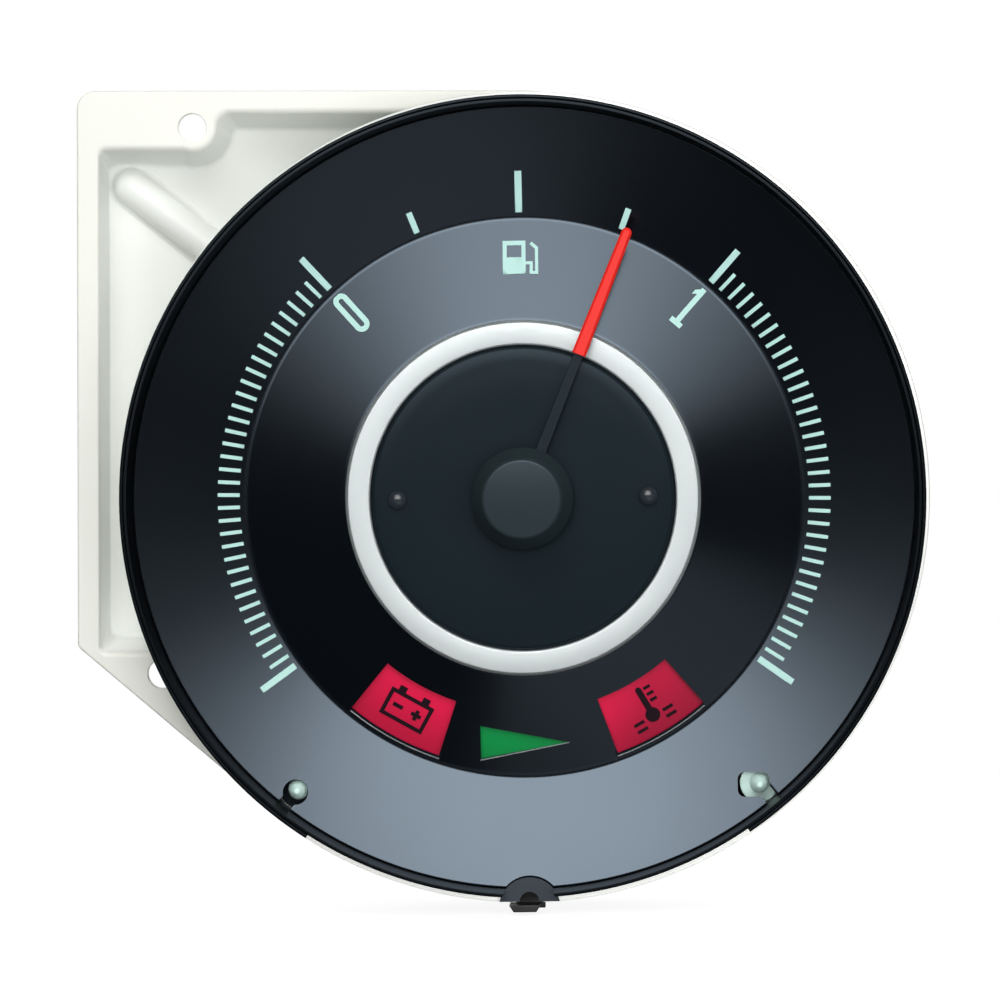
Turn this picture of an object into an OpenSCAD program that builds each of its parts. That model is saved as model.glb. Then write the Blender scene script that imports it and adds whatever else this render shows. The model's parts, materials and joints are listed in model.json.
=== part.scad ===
// Car fuel gauge with three warning lamps: white case, black dial bowl, pressed dial and balanced coil movement.
// Every module draws in the dial's own frame: x to the right, y up, z towards the driver, 0 at the flange face.
// upright() then stands the dial up, so that it faces -Y.

/* [Case] */
// Outside radius of the cup's front rim
rim_r = 71.3; // [68:0.1:76]
// Wall of the cup's front rim
rim_wall = 1.85; // [1.6:0.05:2.2]
// Height of the cup's front rim above the flange face
rim_front = 7.8; // [7.6:0.1:8.2]
// How much the cup narrows behind its rim
rim_step = 2.9; // [2.6:0.1:3.1]
// Wall of the cup behind the rim
cup_wall = 1.6; // [1.4:0.1:1.8]
// Depth of the cup behind the flange face
cup_depth = 26; // [25.6:0.2:30]
// Floor thickness of the cup
floor_t = 2; // [1.6:0.1:2.2]
// Thickness of the flange
flange_t = 2.4; // [1.8:0.1:3]
// Reach of the flange past the rim, on the left
flange_reach = 7.7; // [6:0.1:10]
// Height of the flange's top edge above the rim
flange_rise = 0.2; // [0.1:0.1:1]
// Drop of the flange's lower left corner below the dial axis
corner_drop = 26.6; // [20:0.2:32]
// Rounding of the flange's top left corner
corner_r = 3.2; // [2:0.2:4]
// Turn of the flange against the dial, clockwise
flange_turn = 1; // [-1:0.1:2]

/* [Pocket] */
// Depth of the corner pocket
pocket_depth = 8; // [6:0.5:9]
// Wall and floor of the pocket
pocket_wall = 1.4; // [1.2:0.1:1.6]
// Border between the flange's left edge and the pocket
border_left = 4; // [3:0.2:5]
// Border between the flange's top edge and the pocket
border_top = 4.1; // [3:0.1:5]
// Border between the pocket's lower wall and the flange's lower left corner
border_low = -0.7; // [-1:0.1:4]
// Width of the screw boss's rim round the upper screw hole
boss_rim = 1.9; // [1.8:0.1:2.4]
// Draft of the pocket's walls, as inset over the whole depth
pocket_draft = 2.4; // [1:0.1:2.6]
// Rounding of the pocket's corners
pocket_corner = 1.4; // [1.2:0.1:2]
// Radius of the half-round duct across the pocket
duct_r = 3.3; // [2.6:0.1:4]

/* [Mounting holes] */
// Radius of the upper screw hole
upper_hole_r = 2.5; // [2:0.1:2.8]
// Upper hole from the flange's left edge
upper_hole_in = 20.4; // [18:0.2:24]
// Upper hole from the flange's top edge
upper_hole_down = 6.5; // [5:0.1:7]
// Radius of the lower screw hole
lower_hole_r = 2.5; // [1.8:0.1:2.6]
// Lower hole's distance outside the narrowed cup
lower_hole_out = 3; // [2.9:0.1:3.6]

/* [Dial] */
// Radius of the valley between the dial's cone and bowl
valley_r = 49; // [48:0.2:50]
// Height of the valley above the flange face
valley_z = 2.4; // [2.2:0.1:2.6]
// Height of the dial's flat outer rim
dial_rim_z = 6; // [5.9:0.1:6.2]
// Height of the dial's flat inner flange
dial_flange_z = 6.4; // [6.2:0.1:6.6]
// Thickness of the dial plate
dial_t = 0.8; // [0.6:0.05:0.9]
// Width of the dial's flat outer rim
dial_rim_w = 1.3; // [1:0.1:1.6]
// Height of the bowl's lip above the flange face
lip_z = 14; // [13:0.2:15]
// Outside radius of the bright trim ring
trim_r = 31.1; // [30.6:0.1:31.6]
// Width of the bright trim ring
trim_w = 4.35; // [4:0.05:4.6]
// Height of the centre disc's face
disc_z = 7.5; // [7.3:0.1:7.8]
// Radius of the disc's rounded edge
disc_edge_r = 0.9; // [0.5:0.1:1]
// Distance of the disc's rivets from the axis
rivet_out = 21.9; // [20:0.1:22]
// Radius of the rivets' dome heads
rivet_head_r = 1.65; // [1.6:0.05:2]

/* [Scale] */
// Turn of the scale's empty and full marks from the top
scale_turn = 42; // [38:1:44]
// Turn of the long marks that end the fine scales
fine_end = 125.4; // [120:0.2:128]
// Spaces in each fine scale
fine_spaces = 34; // [20:1:40]
// Radius where the marks start
mark_r = 50; // [49.8:0.1:51]
// Length of the short marks
short_mark = 3.8; // [3:0.1:5]
// Length of the long marks
long_mark = 7.2; // [6:0.1:8]
// Stroke of the figures
figure_stroke = 0.95; // [0.7:0.05:1.1]

/* [Windows] */
// Inner radius of the warning windows
window_in = 37.6; // [37.4:0.1:38]
// Outer radius of the warning windows
window_out = 47.9; // [47:0.1:48]
// Turn from the top to the near side of each warning window
window_from = 139.7; // [138:0.1:141]
// Turn from the top to the far side of each warning window
window_to = 160.8; // [160:0.1:162]
// Thickness of the lenses
lens_t = 1; // [0.8:0.1:1.2]

/* [Pointer] */
// Length of the pointer from the axis
pointer_len = 50.3; // [46:0.1:52]
// Radius where the red blade starts
blade_from = 26.9; // [25:0.1:28]
// Width of the red blade at its inner end
blade_w = 2.6; // [2.2:0.1:3]
// Width of the red blade at its tip
blade_tip_w = 1.55; // [1.2:0.05:1.8]
// Underside of the pointer arm above the flange face
arm_z = 9; // [8.8:0.1:9.4]
// Top radius of the hub
hub_r = 6.85; // [6.6:0.05:7.2]
// Base radius of the hub's skirt
hub_base_r = 8.9; // [8.6:0.1:9.4]
// Height of the hub's top
hub_z = 13.8; // [13.6:0.1:14.6]
// Turn of the resting pointer from the top
rest_turn = 22.4; // [-42:0.1:42]
// Largest turn of the pointer to either side of the top
turn_limit = 45; // [44:1:48]

/* [Movement] */
// Radius of the spindle
spindle_r = 0.75; // [0.6:0.05:0.9]
// Radius of the front plate
front_plate_r = 30; // [28:0.5:31]
// Radius of the rear plate
rear_plate_r = 24; // [23:0.5:26]
// Thickness of the movement plates
plate_t = 1.4; // [1.2:0.1:1.6]
// Distance of the terminal studs from the axis
stud_out = 15; // [14.5:0.1:15.5]
// Radius of the terminal studs
stud_r = 2; // [1.8:0.1:2.1]
// Outside radius of the windings
coil_r = 6.2; // [5.6:0.1:6.4]
// Height of the coils' and armature's middle
coil_z = -8; // [-8.4:0.1:-7.6]

/* [Lamps] */
// Distance of the warning lamps from the axis
lamp_out = 42.8; // [42.6:0.1:43]
// Turn of the two dial lamps from the top
dial_lamp_turn = 62; // [50:1:80]
// Radius of the lamp bulbs
bulb_r = 4.6; // [4.2:0.1:4.6]
// Radius of the holder's flange
holder_flange_r = 8.6; // [8.2:0.1:9]

/* [Fits] */
// Gap between the bowl and the case, and the dial and the bowl
seat_gap = 0.1; // [0.05:0.01:0.2]
// Radial clearance of the spindle in its bushes
running_gap = 0.05; // [0.02:0.01:0.08]
// Gap between faces that lie on each other
face_gap = 0.05; // [0.02:0.01:0.08]

/* [Hidden] */
$fn = 96;
eps = 0.01;

// Case outline
flange_left = -(rim_r + flange_reach);
flange_top = rim_r + flange_rise;
neck_r = rim_r - rim_step;
neck_in = neck_r - cup_wall;
rim_in = rim_r - rim_wall;
shoulder_z = 3;
shoulder_t = 1.6;
floor_z = -cup_depth + floor_t;
pocket_left = flange_left + border_left;
pocket_low = -corner_drop + border_low;
pocket_high = flange_top - border_top;
upper_hole = [flange_left + upper_hole_in, flange_top - upper_hole_down];
boss_r = upper_hole_r + boss_rim;
pocket_mid = upper_hole[1] - boss_r + 0.3;
lower_hole_turn = 243.9;
lower_hole_polar = neck_r + lower_hole_out;
duct_turn = -38;
duct_start = [flange_left + 8.9, pocket_mid - 6];
duct_len = 30;
corner_low = tangent_point([flange_left, -corner_drop], rim_r - 0.02, 1);
corner_top = tangent_point([0, flange_top], rim_r - 0.02, -1);

// Bowl and dial
bowl_r = rim_in - seat_gap;
lip_wall = 0.6;
bowl_wall = 0.85;
bowl_in = bowl_r - bowl_wall;
dial_r = bowl_in - 2 * seat_gap;
dial_flat_r = dial_r - dial_rim_w;
seat_in = dial_flat_r;
flange_in = 24;
cone_top_r = trim_r + 0.1;
cone_slope = (dial_flange_z - valley_z) / (valley_r - cone_top_r);
bowl_slope = (dial_rim_z - valley_z) / (dial_flat_r - valley_r);
band_gap_turn = 33.5;
band_t = 0.65;
pad_r = 5.45;
pad_back = 3.05;
pad_z = 8.6;
pad_low = rim_r - 0.75;
pad_mid = pad_low + 1.35;
pad_notch_r = 1.72;
notch_wall = 0.6;
clip_shift = -0.9;

// Locating pins
pin_turn = 141.4;
pin_out = bowl_in - 3.6;
pin_r = 1.6;
pin_body_r = 2;
pin_body_z = 4.2;
pin_shoulder_r = 3.4;
pin_shoulder_z = 3.75;
pin_top = 6.9;
pin_foot = -6;
post_r = 3.2;
post_top = shoulder_z;
pin_hole_r = 2.2;
pin_hole_turn = 141.3;
pin_hole_out = pin_out + 0.5;
slot_low = polar(pin_turn, pin_out) - [3.79, 2.33];
slot_high = polar(pin_turn, pin_out) + [1.81, 2.02];
slot_corner = 1.3;

// Windows and lenses
lens_margin = 2.4;
rib_lap = 0.6;
arrow_left = -8.3;
arrow_right = 7.2;
arrow_top = -40;
arrow_low = -45.9;
arrow_mid = -43.1;
arrow_lens_turn = 12.5;
rib_t = 1.2;
rib_turns = [-163, -137.2, 137.2, 163];

// Printed marks
ink_gap = 0.02;
ink_t = 0.1;
fine_step = (fine_end - scale_turn) / fine_spaces;
figure_turn = 42;
figure_low = 40.2;
figure_high = 48.4;
figure_w = 2.8;
symbol_y = 41.6;

// Pointer
blade_t = 0.9;
arm_t = 0.55;
arm_w = 2;
hub_wall = 0.8;
spindle_top = 12.95;
spindle_foot = -22.1;
finger_z = -17.4;
finger_len = 9;
post_polar = 8;
stop_post_r = 0.8;
finger_w = 1.6;
stop_air = 0.3;
stop_turn = turn_limit + asin((finger_w / 2 + stop_post_r + stop_air) / post_polar);

// Movement
front_plate_z = dial_flange_z - dial_t - face_gap - plate_t;
rear_plate_z = -21.4;
pillar_r = 2;
tenon_r = 1.3;
pillar_places = [[-17, 9.5], [17, 9.5], [0, -20.5]];
bush_r = 2.2;
bush_flange_r = 3.4;
bush_flange_t = 0.7;
coil_from = 9.45;
coil_to = 18.75;
bobbin_wall = 0.8;
bobbin_tube_r = 3.1;
core_r = 2.4;
shoe_in = 6.2;
shoe_out = 8.2;
shoe_w = 7;
bracket_in = 20.2;
bracket_t = 1.4;
stud_turns = [0, 120, 240];
stud_head_r = 3.4;
stud_head_t = 0.9;
stud_end = -35;
nut_across = 7;
nut_t = 3.2;
washer_t = 0.7;
circuit_t = 0.6;
floor_hole_r = 3.2;

// Lamps
lamp_places = [
    [-(window_from + window_to) / 2, lamp_out], [(window_from + window_to) / 2, lamp_out],
    [180, lamp_out], [-dial_lamp_turn, valley_r + 1], [dial_lamp_turn, valley_r + 1]
];
barrel_r = bulb_r + 1;
lamp_hole_r = barrel_r + 0.4;
circuit_z = -cup_depth - face_gap;
contact_t = 0.3;
contact_z = circuit_z - circuit_t - face_gap;
holder_z = contact_z - contact_t - face_gap;
holder_flange_t = 2.6;
lug_t = 1;
lug_reach = 1.1;

// Stands the dial frame up, with its face towards -Y
module upright() {
    rotate([90, 0, 0]) children();
}

// Turns its children clockwise from the top, as the driver sees it
module turned(turn) {
    rotate([0, 0, -turn]) children();
}

function polar(turn, r) = [r * sin(turn), r * cos(turn)];
function cone_z(r) = valley_z + (valley_r - r) * cone_slope;
function bowl_z(r) = valley_z + (r - valley_r) * bowl_slope;

// The point where a line from p touches a circle of radius r, to one side of p
function tangent_point(p, r, side) =
    let (d = norm(p), a = atan2(p[1], p[0]) + side * acos(r / d)) [r * cos(a), r * sin(a)];

// A flat ring
module ring(r_out, r_in, low, high) {
    difference() {
        translate([0, 0, low]) cylinder(r = r_out, h = high - low);
        translate([0, 0, low - 1]) cylinder(r = r_in, h = high - low + 2);
    }
}

// A round bar or hole from low to high
module bar(r, low, high) {
    translate([0, 0, low]) cylinder(r = r, h = high - low);
}

// A slice of a shape turned round the dial axis, from one clockwise turn to another
module sector(from, to) {
    rotate([0, 0, 90 - to]) rotate_extrude(angle = to - from) children();
}

// CASE

// The flange's features share its small turn
module on_flange() {
    turned(flange_turn) children();
}

module corner_outline() {
    difference() {
        polygon([
            [flange_left, -corner_drop], corner_low, [0, 0], corner_top, [0, flange_top],
            [flange_left, flange_top]
        ]);
        translate([flange_left - 1, flange_top - corner_r]) square([corner_r + 1, corner_r + 1]);
    }
    translate([flange_left + corner_r, flange_top - corner_r]) circle(r = corner_r);
}

// One block of the pocket, with round corners: its walls lean in by the draft as they go down
module drafted_block(low_left, high_right, depth, inset, grow) {
    r = pocket_corner;
    low = low_left - [grow, grow] + [r, r];
    high = high_right + [grow, grow] - [r, r];
    hull() for (x = [0, 1], y = [0, 1]) {
        translate([x > 0 ? high[0] : low[0], y > 0 ? high[1] : low[1], 0])
            cylinder(r = r, h = eps, $fn = 24);
        translate([x > 0 ? high[0] - inset : low[0] + inset, y > 0 ? high[1] - inset : low[1] + inset, -depth])
            cylinder(r = r, h = eps, $fn = 24);
    }
}

module pocket_shape(depth, grow) {
    inset = pocket_draft * depth / pocket_depth;
    drafted_block([pocket_left, pocket_low], [0, pocket_mid], depth, inset, grow);
    drafted_block([upper_hole[0], 0], [0, pocket_high], depth, inset, grow);
}

// The cone that keeps the pocket clear of the upper screw hole: the boss's outside, or the hollow behind it
module boss_cone(r, top, depth) {
    slope = pocket_draft / pocket_depth;
    translate([upper_hole[0], upper_hole[1], -depth])
        cylinder(r1 = r + depth * slope, r2 = r - top * slope, h = depth + top);
}

// The half-round duct that crosses the pocket towards the cup
module pocket_duct() {
    translate([duct_start[0], duct_start[1], -pocket_depth]) rotate([0, 0, duct_turn]) {
        sphere(r = duct_r, $fn = 48);
        rotate([0, 90, 0]) cylinder(r = duct_r, h = duct_len, $fn = 48);
    }
}

// The flange's round part, from one end of the corner to the other
module flange_ring() {
    gap = asin(face_gap / neck_r);
    from = atan2(corner_top[0], corner_top[1]) + flange_turn + gap;
    to = 360 + atan2(corner_low[0], corner_low[1]) + flange_turn - gap;
    sector(from, to) translate([neck_r - eps, -flange_t]) square([rim_r - neck_r + eps, flange_t]);
}

// The cup's outside, before it is hollowed
module cup_solid() {
    flange_ring();
    bar(neck_r, -cup_depth, shoulder_z);
    bar(rim_r, shoulder_z - shoulder_t, rim_front);
}

// What is cut out of the pocket: not the duct or the screw boss
module pocket_cut() {
    on_flange() difference() {
        translate([0, 0, eps]) pocket_shape(pocket_depth, 0);
        boss_cone(boss_r, 1, pocket_depth + 1);
        pocket_duct();
    }
}

// The flange's corner with its pocket. It is one moulding with the cup, and a node of its own because it is a
// simpler shape that way.
module case_flange() {
    block = pocket_depth + pocket_wall;
    color("white") upright() difference() {
        on_flange() {
            translate([0, 0, -flange_t]) linear_extrude(flange_t) corner_outline();
            difference() {
                translate([0, 0, -eps]) pocket_shape(block, pocket_wall);
                boss_cone(boss_r - pocket_wall, -flange_t, block + 1);
            }
        }
        pocket_cut();
        bar(neck_r + face_gap, -cup_depth, 1);
        on_flange() {
            translate([upper_hole[0], upper_hole[1], 0]) bar(upper_hole_r, -pocket_depth - 4, 1);
            turned(lower_hole_turn) translate([0, lower_hole_polar, 0]) bar(lower_hole_r, -flange_t - 1, 1);
        }
    }
}

module case_hollow() {
    bar(neck_in, floor_z, shoulder_z + 1);
    bar(rim_in, shoulder_z, rim_front + 1);
}

module light_box_ribs() {
    from = window_from - 3.7;
    inner = window_in - lens_margin + rib_lap;
    outer = window_out + lens_margin - rib_lap;
    sector(from, 360 - from) translate([inner - rib_t, floor_z - eps])
        square([rib_t, cone_z(inner) - dial_t - lens_t - 4 * face_gap - floor_z]);
    sector(from, 360 - from) translate([outer, floor_z - eps])
        square([rib_t, cone_z(outer + rib_t) - dial_t - lens_t - 4 * face_gap - floor_z]);
    for (turn = rib_turns)
        turned(turn) translate([-rib_t / 2, inner - eps, floor_z - eps])
            cube([rib_t, outer - inner + 2 * eps, cone_z(outer + rib_t) - dial_t - lens_t - 0.3 - floor_z]);
}

module pin_posts() {
    for (side = [-1, 1])
        turned(side * pin_turn) translate([0, pin_out, 0]) bar(post_r, floor_z - eps, post_top);
}

module floor_ribs() {
    for (turn = [-100, -30, 0, 30, 100])
        turned(turn) translate([-0.7, neck_r - 12, -cup_depth]) cube([1.4, 11.6, 3.4]);
}

module lamp_openings() {
    for (place = lamp_places)
        turned(place[0]) translate([0, place[1], 0]) {
            bar(lamp_hole_r, -cup_depth - 1, floor_z + 1);
            translate([-lamp_hole_r - 1.6, -2.4, -cup_depth - 1])
                cube([2 * lamp_hole_r + 3.2, 4.8, floor_t + 2]);
        }
}

module case_pan() {
    color("white") upright() difference() {
        union() {
            difference() {
                cup_solid();
                case_hollow();
            }
            light_box_ribs();
            pin_posts();
            floor_ribs();
        }
        lamp_openings();
        for (turn = stud_turns)
            turned(turn) translate([0, stud_out, 0]) bar(floor_hole_r, -cup_depth - 1, floor_z + 1);
        for (side = [-1, 1])
            turned(side * pin_turn) translate([0, pin_out, 0]) bar(pin_r + face_gap, pin_foot - 0.5, 4);
        clip_strip(seat_gap);
        half_round(pad_notch_r + notch_wall + seat_gap, seat_gap, shoulder_z - shoulder_t + 0.5, 20);
    }
}

// BOWL AND BAND

module dial_bowl() {
    color("#15171a") upright() difference() {
        union() {
            rotate_extrude($fn = 180) {
                polygon([
                    [seat_in, pad_back], [bowl_r, pad_back],
                    [bowl_r, lip_z - lip_wall / 2], [bowl_r - lip_wall, lip_z - lip_wall / 2],
                    [bowl_in, dial_rim_z], [bowl_in, dial_rim_z - dial_t - face_gap],
                    [seat_in, dial_rim_z - dial_t - face_gap]
                ]);
                translate([bowl_r - lip_wall / 2, lip_z - lip_wall / 2]) circle(r = lip_wall / 2, $fn = 32);
            }
            screw_pad();
        }
        for (side = [-1, 1])
            turned(side * pin_turn) translate([0, pin_out, 0])
                bar(pin_shoulder_r + seat_gap, shoulder_z - 1, dial_rim_z);
        half_round(pad_notch_r, 1, 0, 20);
        translate([-pad_r, -rim_r - 4, pad_z]) cube([2 * pad_r, rim_r + 4 - pad_mid + pad_r, lip_z]);
    }
}

// A half-round column against the pad's straight edge, open or closed towards the outside by extra
module half_round(r, extra, low, high) {
    intersection() {
        translate([0, -pad_low, 0]) bar(r, low, high);
        translate([-r - 1, -pad_low - extra, low - 1]) cube([2 * r + 2, r + 1 + extra, high - low + 2]);
    }
}

// The pad at the bottom, a disc's segment with half of a screw hole, which laps over the case's rim
module screw_pad() {
    intersection() {
        translate([0, -pad_mid, 0]) bar(pad_r, pad_back, pad_z);
        translate([-pad_r, -pad_low, 0]) cube([2 * pad_r, pad_r, 20]);
        union() {
            bar(bowl_r, 0, 20);
            bar(rim_r, rim_front + face_gap, 20);
        }
    }
    half_round(pad_notch_r + notch_wall, 0, pad_back, pad_z);
}

module rim_band() {
    band_in = bowl_r + seat_gap / 2;
    color("#0d0e10") upright() sector(-180 + band_gap_turn, 180 - band_gap_turn) {
        translate([band_in, rim_front + face_gap])
            square([band_t, lip_z - 0.1 - band_t / 2 - rim_front - face_gap]);
        translate([band_in + band_t / 2, lip_z - 0.1 - band_t / 2]) circle(r = band_t / 2, $fn = 32);
    }
}

// The clip's strip lies in a slot through the shoulder, grown by a gap for the slot itself
module clip_strip(grow) {
    translate([-2.6 - grow, -rim_r - 1, shoulder_z - shoulder_t + 0.1 - grow])
        cube([5.2 + 2 * grow, rim_step + cup_wall + 2.4, 1.2 + 2 * grow]);
}

module rim_clip() {
    nub = rim_r + face_gap;
    color("#101114") upright() {
        clip_strip(0);
        translate([clip_shift, 0, shoulder_z - shoulder_t - 0.8]) linear_extrude(6.4)
            polygon([[-2.8, -nub], [2.8, -nub], [2, -nub - 1.25], [-2, -nub - 1.25]]);
    }
}

// DIAL

// The pressed plate's profile, from its inner flange over the cone, valley and bowl to its flat rim
module dial_profile() {
    front = [
        [flange_in, dial_flange_z], [cone_top_r, dial_flange_z], [valley_r - 0.6, cone_z(valley_r - 0.6)],
        [valley_r, valley_z + 0.06], [valley_r + 0.6, bowl_z(valley_r + 0.6)],
        [dial_flat_r, dial_rim_z], [dial_r, dial_rim_z]
    ];
    last = len(front) - 1;
    polygon(concat(front, [for (i = [0:last]) front[last - i] - [0, dial_t]]));
}

module window_cut(side) {
    from = side > 0 ? window_from : 360 - window_to;
    to = side > 0 ? window_to : 360 - window_from;
    sector(from, to) translate([window_in, -2]) square([window_out - window_in, 12]);
}

module arrow_shape() {
    polygon([[arrow_left, arrow_top], [arrow_left, arrow_low], [arrow_right, arrow_mid]]);
}

// The left pin has a round hole and the right one a slot with round corners, and both open towards the rim
module pin_openings() {
    size = slot_high - slot_low;
    turned(-pin_hole_turn) translate([0, pin_hole_out, 0]) {
        bar(pin_hole_r, 0, 10);
        translate([-1.2, 0, 0]) cube([2.4, 8, 10]);
    }
    turned(pin_turn) translate([-1.2, pin_out, 0]) cube([2.4, 8, 10]);
    translate([slot_low[0] + slot_corner, slot_low[1], 0]) cube([size[0] - 2 * slot_corner, size[1], 10]);
    translate([slot_low[0], slot_low[1] + slot_corner, 0]) cube([size[0], size[1] - 2 * slot_corner, 10]);
    for (x = [slot_low[0] + slot_corner, slot_high[0] - slot_corner])
        for (y = [slot_low[1] + slot_corner, slot_high[1] - slot_corner])
            translate([x, y, 0]) bar(slot_corner, 0, 10);
}

module dial_plate() {
    color("#2a2f36") upright() difference() {
        rotate_extrude($fn = 180) dial_profile();
        window_cut(-1);
        window_cut(1);
        translate([0, 0, -2]) linear_extrude(12) arrow_shape();
        pin_openings();
        translate([0, -pad_mid, 0]) bar(pad_r + 2 * seat_gap, 0, 10);
    }
}

// A thin layer just above the bowl's or the cone's face, which the printed shapes are cut from
module ink_on_bowl() {
    high = mark_r + long_mark + 1;
    rotate_extrude($fn = 180) translate([0, ink_gap]) polygon([
        [mark_r - 0.2, bowl_z(mark_r - 0.2)], [high, bowl_z(high)],
        [high, bowl_z(high) + ink_t], [mark_r - 0.2, bowl_z(mark_r - 0.2) + ink_t]
    ]);
}

module ink_on_cone(low, high, drop) {
    rotate_extrude($fn = 180) translate([0, ink_gap - drop]) polygon([
        [low, cone_z(low)], [high, cone_z(high)],
        [high, cone_z(high) + ink_t], [low, cone_z(low) + ink_t]
    ]);
}

module mark(turn, length, width) {
    turned(turn) translate([-width / 2, mark_r, 0]) cube([width, length, 12]);
}

module scale_bars() {
    mark(0, long_mark, 1.23);
    for (side = [-1, 1]) {
        mark(side * scale_turn / 2, short_mark, 1.05);
        mark(side * scale_turn, long_mark, 1.5);
        mark(side * fine_end, long_mark, 1.5);
        for (i = [1:fine_spaces - 1])
            mark(side * (scale_turn + i * fine_step), short_mark, 0.84);
    }
}

// The figure nought, as tall as the figure one
module figure_nought() {
    r = figure_w / 2;
    difference() {
        union() {
            translate([0, figure_low + r]) circle(r = r, $fn = 32);
            translate([0, figure_high - r]) circle(r = r, $fn = 32);
            translate([-r, figure_low + r]) square([figure_w, figure_high - figure_low - figure_w]);
        }
        translate([0, figure_low + r]) circle(r = r - figure_stroke, $fn = 32);
        translate([0, figure_high - r]) circle(r = r - figure_stroke, $fn = 32);
        translate([-r + figure_stroke, figure_low + r])
            square([figure_w - 2 * figure_stroke, figure_high - figure_low - figure_w]);
    }
}

module figure_one() {
    translate([-figure_stroke / 2, figure_low]) square([figure_stroke, figure_high - figure_low]);
    translate([-figure_w / 2 + 0.2, figure_low]) square([figure_w - 0.4, figure_stroke]);
    polygon([
        [0, figure_high], [0, figure_high - 1.2], [-figure_w / 2 + 0.2, figure_high - 2.1],
        [-figure_w / 2 + 0.2, figure_high - 1.2]
    ]);
}

// A plain fuel pump: tank with a window, foot, hose and nozzle
module pump_symbol() {
    difference() {
        translate([-2.6, 0]) square([4, 6.8]);
        translate([-1.9, 3.9]) square([2.6, 2.1]);
    }
    translate([-3.2, -0.1]) square([5.2, 0.8]);
    translate([1.3, 2.6]) square([1.3, 0.55]);
    translate([2.1, 0.9]) square([0.55, 2.2]);
    translate([2.1, 0.9]) square([1.5, 0.55]);
    translate([3.05, 0.9]) square([0.55, 4.1]);
    polygon([[3.05, 4.9], [3.6, 4.9], [3.6, 5.6], [2.5, 6.6], [2.1, 6.2], [3.05, 5.3]]);
}

module dial_marks() {
    color("#bfe3de") upright() {
        intersection() {
            ink_on_bowl();
            scale_bars();
        }
        intersection() {
            ink_on_cone(figure_low - 1, valley_r - 0.7, 0);
            linear_extrude(12) {
                turned(-figure_turn) figure_nought();
                turned(figure_turn) figure_one();
            }
        }
        intersection() {
            ink_on_cone(figure_low - 1, valley_r - 0.7, 0);
            translate([-0.3, symbol_y - 3.4, 0]) linear_extrude(12) pump_symbol();
        }
    }
}

module trim_ring() {
    back = dial_flange_z + face_gap;
    front = disc_z - 0.1;
    inner = trim_r - trim_w;
    color("#d9dcdf") upright() rotate_extrude($fn = 180) polygon([
        [inner, back], [trim_r, back], [trim_r, back + 0.35], [trim_r - 0.25, front - 0.12],
        [trim_r - 0.75, front], [inner + 0.15, front], [inner, front - 0.15]
    ]);
}

module centre_disc() {
    disc_r = trim_r - trim_w - 1.5 * seat_gap;
    back = dial_flange_z + face_gap;
    color("#1c1f22") upright() difference() {
        rotate_extrude($fn = 180) {
            translate([bush_flange_r + 0.2, back])
                square([disc_r - disc_edge_r - bush_flange_r - 0.2, disc_z - back]);
            translate([disc_r - disc_edge_r - eps, back]) square([disc_edge_r + eps, disc_z - disc_edge_r - back + eps]);
            intersection() {
                translate([disc_r - disc_edge_r, disc_z - disc_edge_r]) circle(r = disc_edge_r, $fn = 48);
                translate([0, back]) square([disc_r, disc_z]);
            }
        }
        for (side = [-1, 1])
            translate([side * rivet_out, 0, 0]) bar(1.45, 0, 10);
    }
}

// Dome head, shank through disc and plate, and a flat tail behind the plate
module disc_rivets() {
    color("#4a4d50") upright() for (side = [-1, 1])
        translate([side * rivet_out, 0, 0]) {
            intersection() {
                translate([0, 0, disc_z - 0.75]) sphere(r = rivet_head_r + 0.15, $fn = 48);
                bar(rivet_head_r, disc_z + face_gap, disc_z + 2);
            }
            bar(1.4, front_plate_z - 0.6, disc_z + 0.3);
            bar(2.1, front_plate_z - 0.8, front_plate_z - face_gap);
        }
}

// LENSES

module lens(from, to, cut_in, cut_out) {
    drop = dial_t + face_gap;
    sector(from, to) polygon([
        [cut_in, cone_z(cut_in) - drop], [cut_out, cone_z(cut_out) - drop],
        [cut_out, cone_z(cut_out) - drop - lens_t], [cut_in, cone_z(cut_in) - drop - lens_t]
    ]);
}

module battery_lens() {
    color("#d4103c") upright()
        lens(360 - window_to - 1.5, 360 - window_from + 1.5, window_in - lens_margin, window_out + lens_margin);
}

module temperature_lens() {
    color("#d4103c") upright()
        lens(window_from - 1.5, window_to + 1.5, window_in - lens_margin, window_out + lens_margin);
}

module arrow_lens() {
    color("#009a52") upright()
        lens(180 - arrow_lens_turn, 180 + arrow_lens_turn, window_in - lens_margin, window_out + lens_margin);
}

// A plain battery: case, two posts, minus and plus
module battery_shape() {
    difference() {
        translate([-4.2, -2.6]) square([8.4, 5.2]);
        translate([-3.5, -1.9]) square([7, 3.8]);
    }
    for (x = [-3, 1.6]) translate([x, 2.5]) square([1.4, 1.1]);
    translate([-2.7, -0.35]) square([1.9, 0.7]);
    translate([0.9, -0.35]) square([1.9, 0.7]);
    translate([1.5, -0.95]) square([0.7, 1.9]);
}

// A plain thermometer standing in two waves
module thermometer_shape() {
    translate([0, -1.6]) circle(r = 1.3, $fn = 32);
    translate([-0.55, -1.6]) square([1.1, 5]);
    translate([0, 3.4]) circle(r = 0.55, $fn = 24);
    for (y = [0.5, 1.7, 2.9]) translate([0.9, y]) square([1.3, 0.55]);
    for (x = [-3.9, 1.9]) {
        translate([x, -2.1]) square([2, 0.55]);
        translate([x, -3.4]) square([2, 0.55]);
    }
}

module lens_symbols() {
    mid = (window_from + window_to) / 2;
    color("#141114") upright() intersection() {
        ink_on_cone(window_in + 0.4, window_out - 0.4, dial_t + face_gap);
        linear_extrude(12) {
            turned(180 - mid) translate([0, -lamp_out]) battery_shape();
            turned(mid - 180) translate([0, -lamp_out]) thermometer_shape();
        }
    }
}

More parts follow.
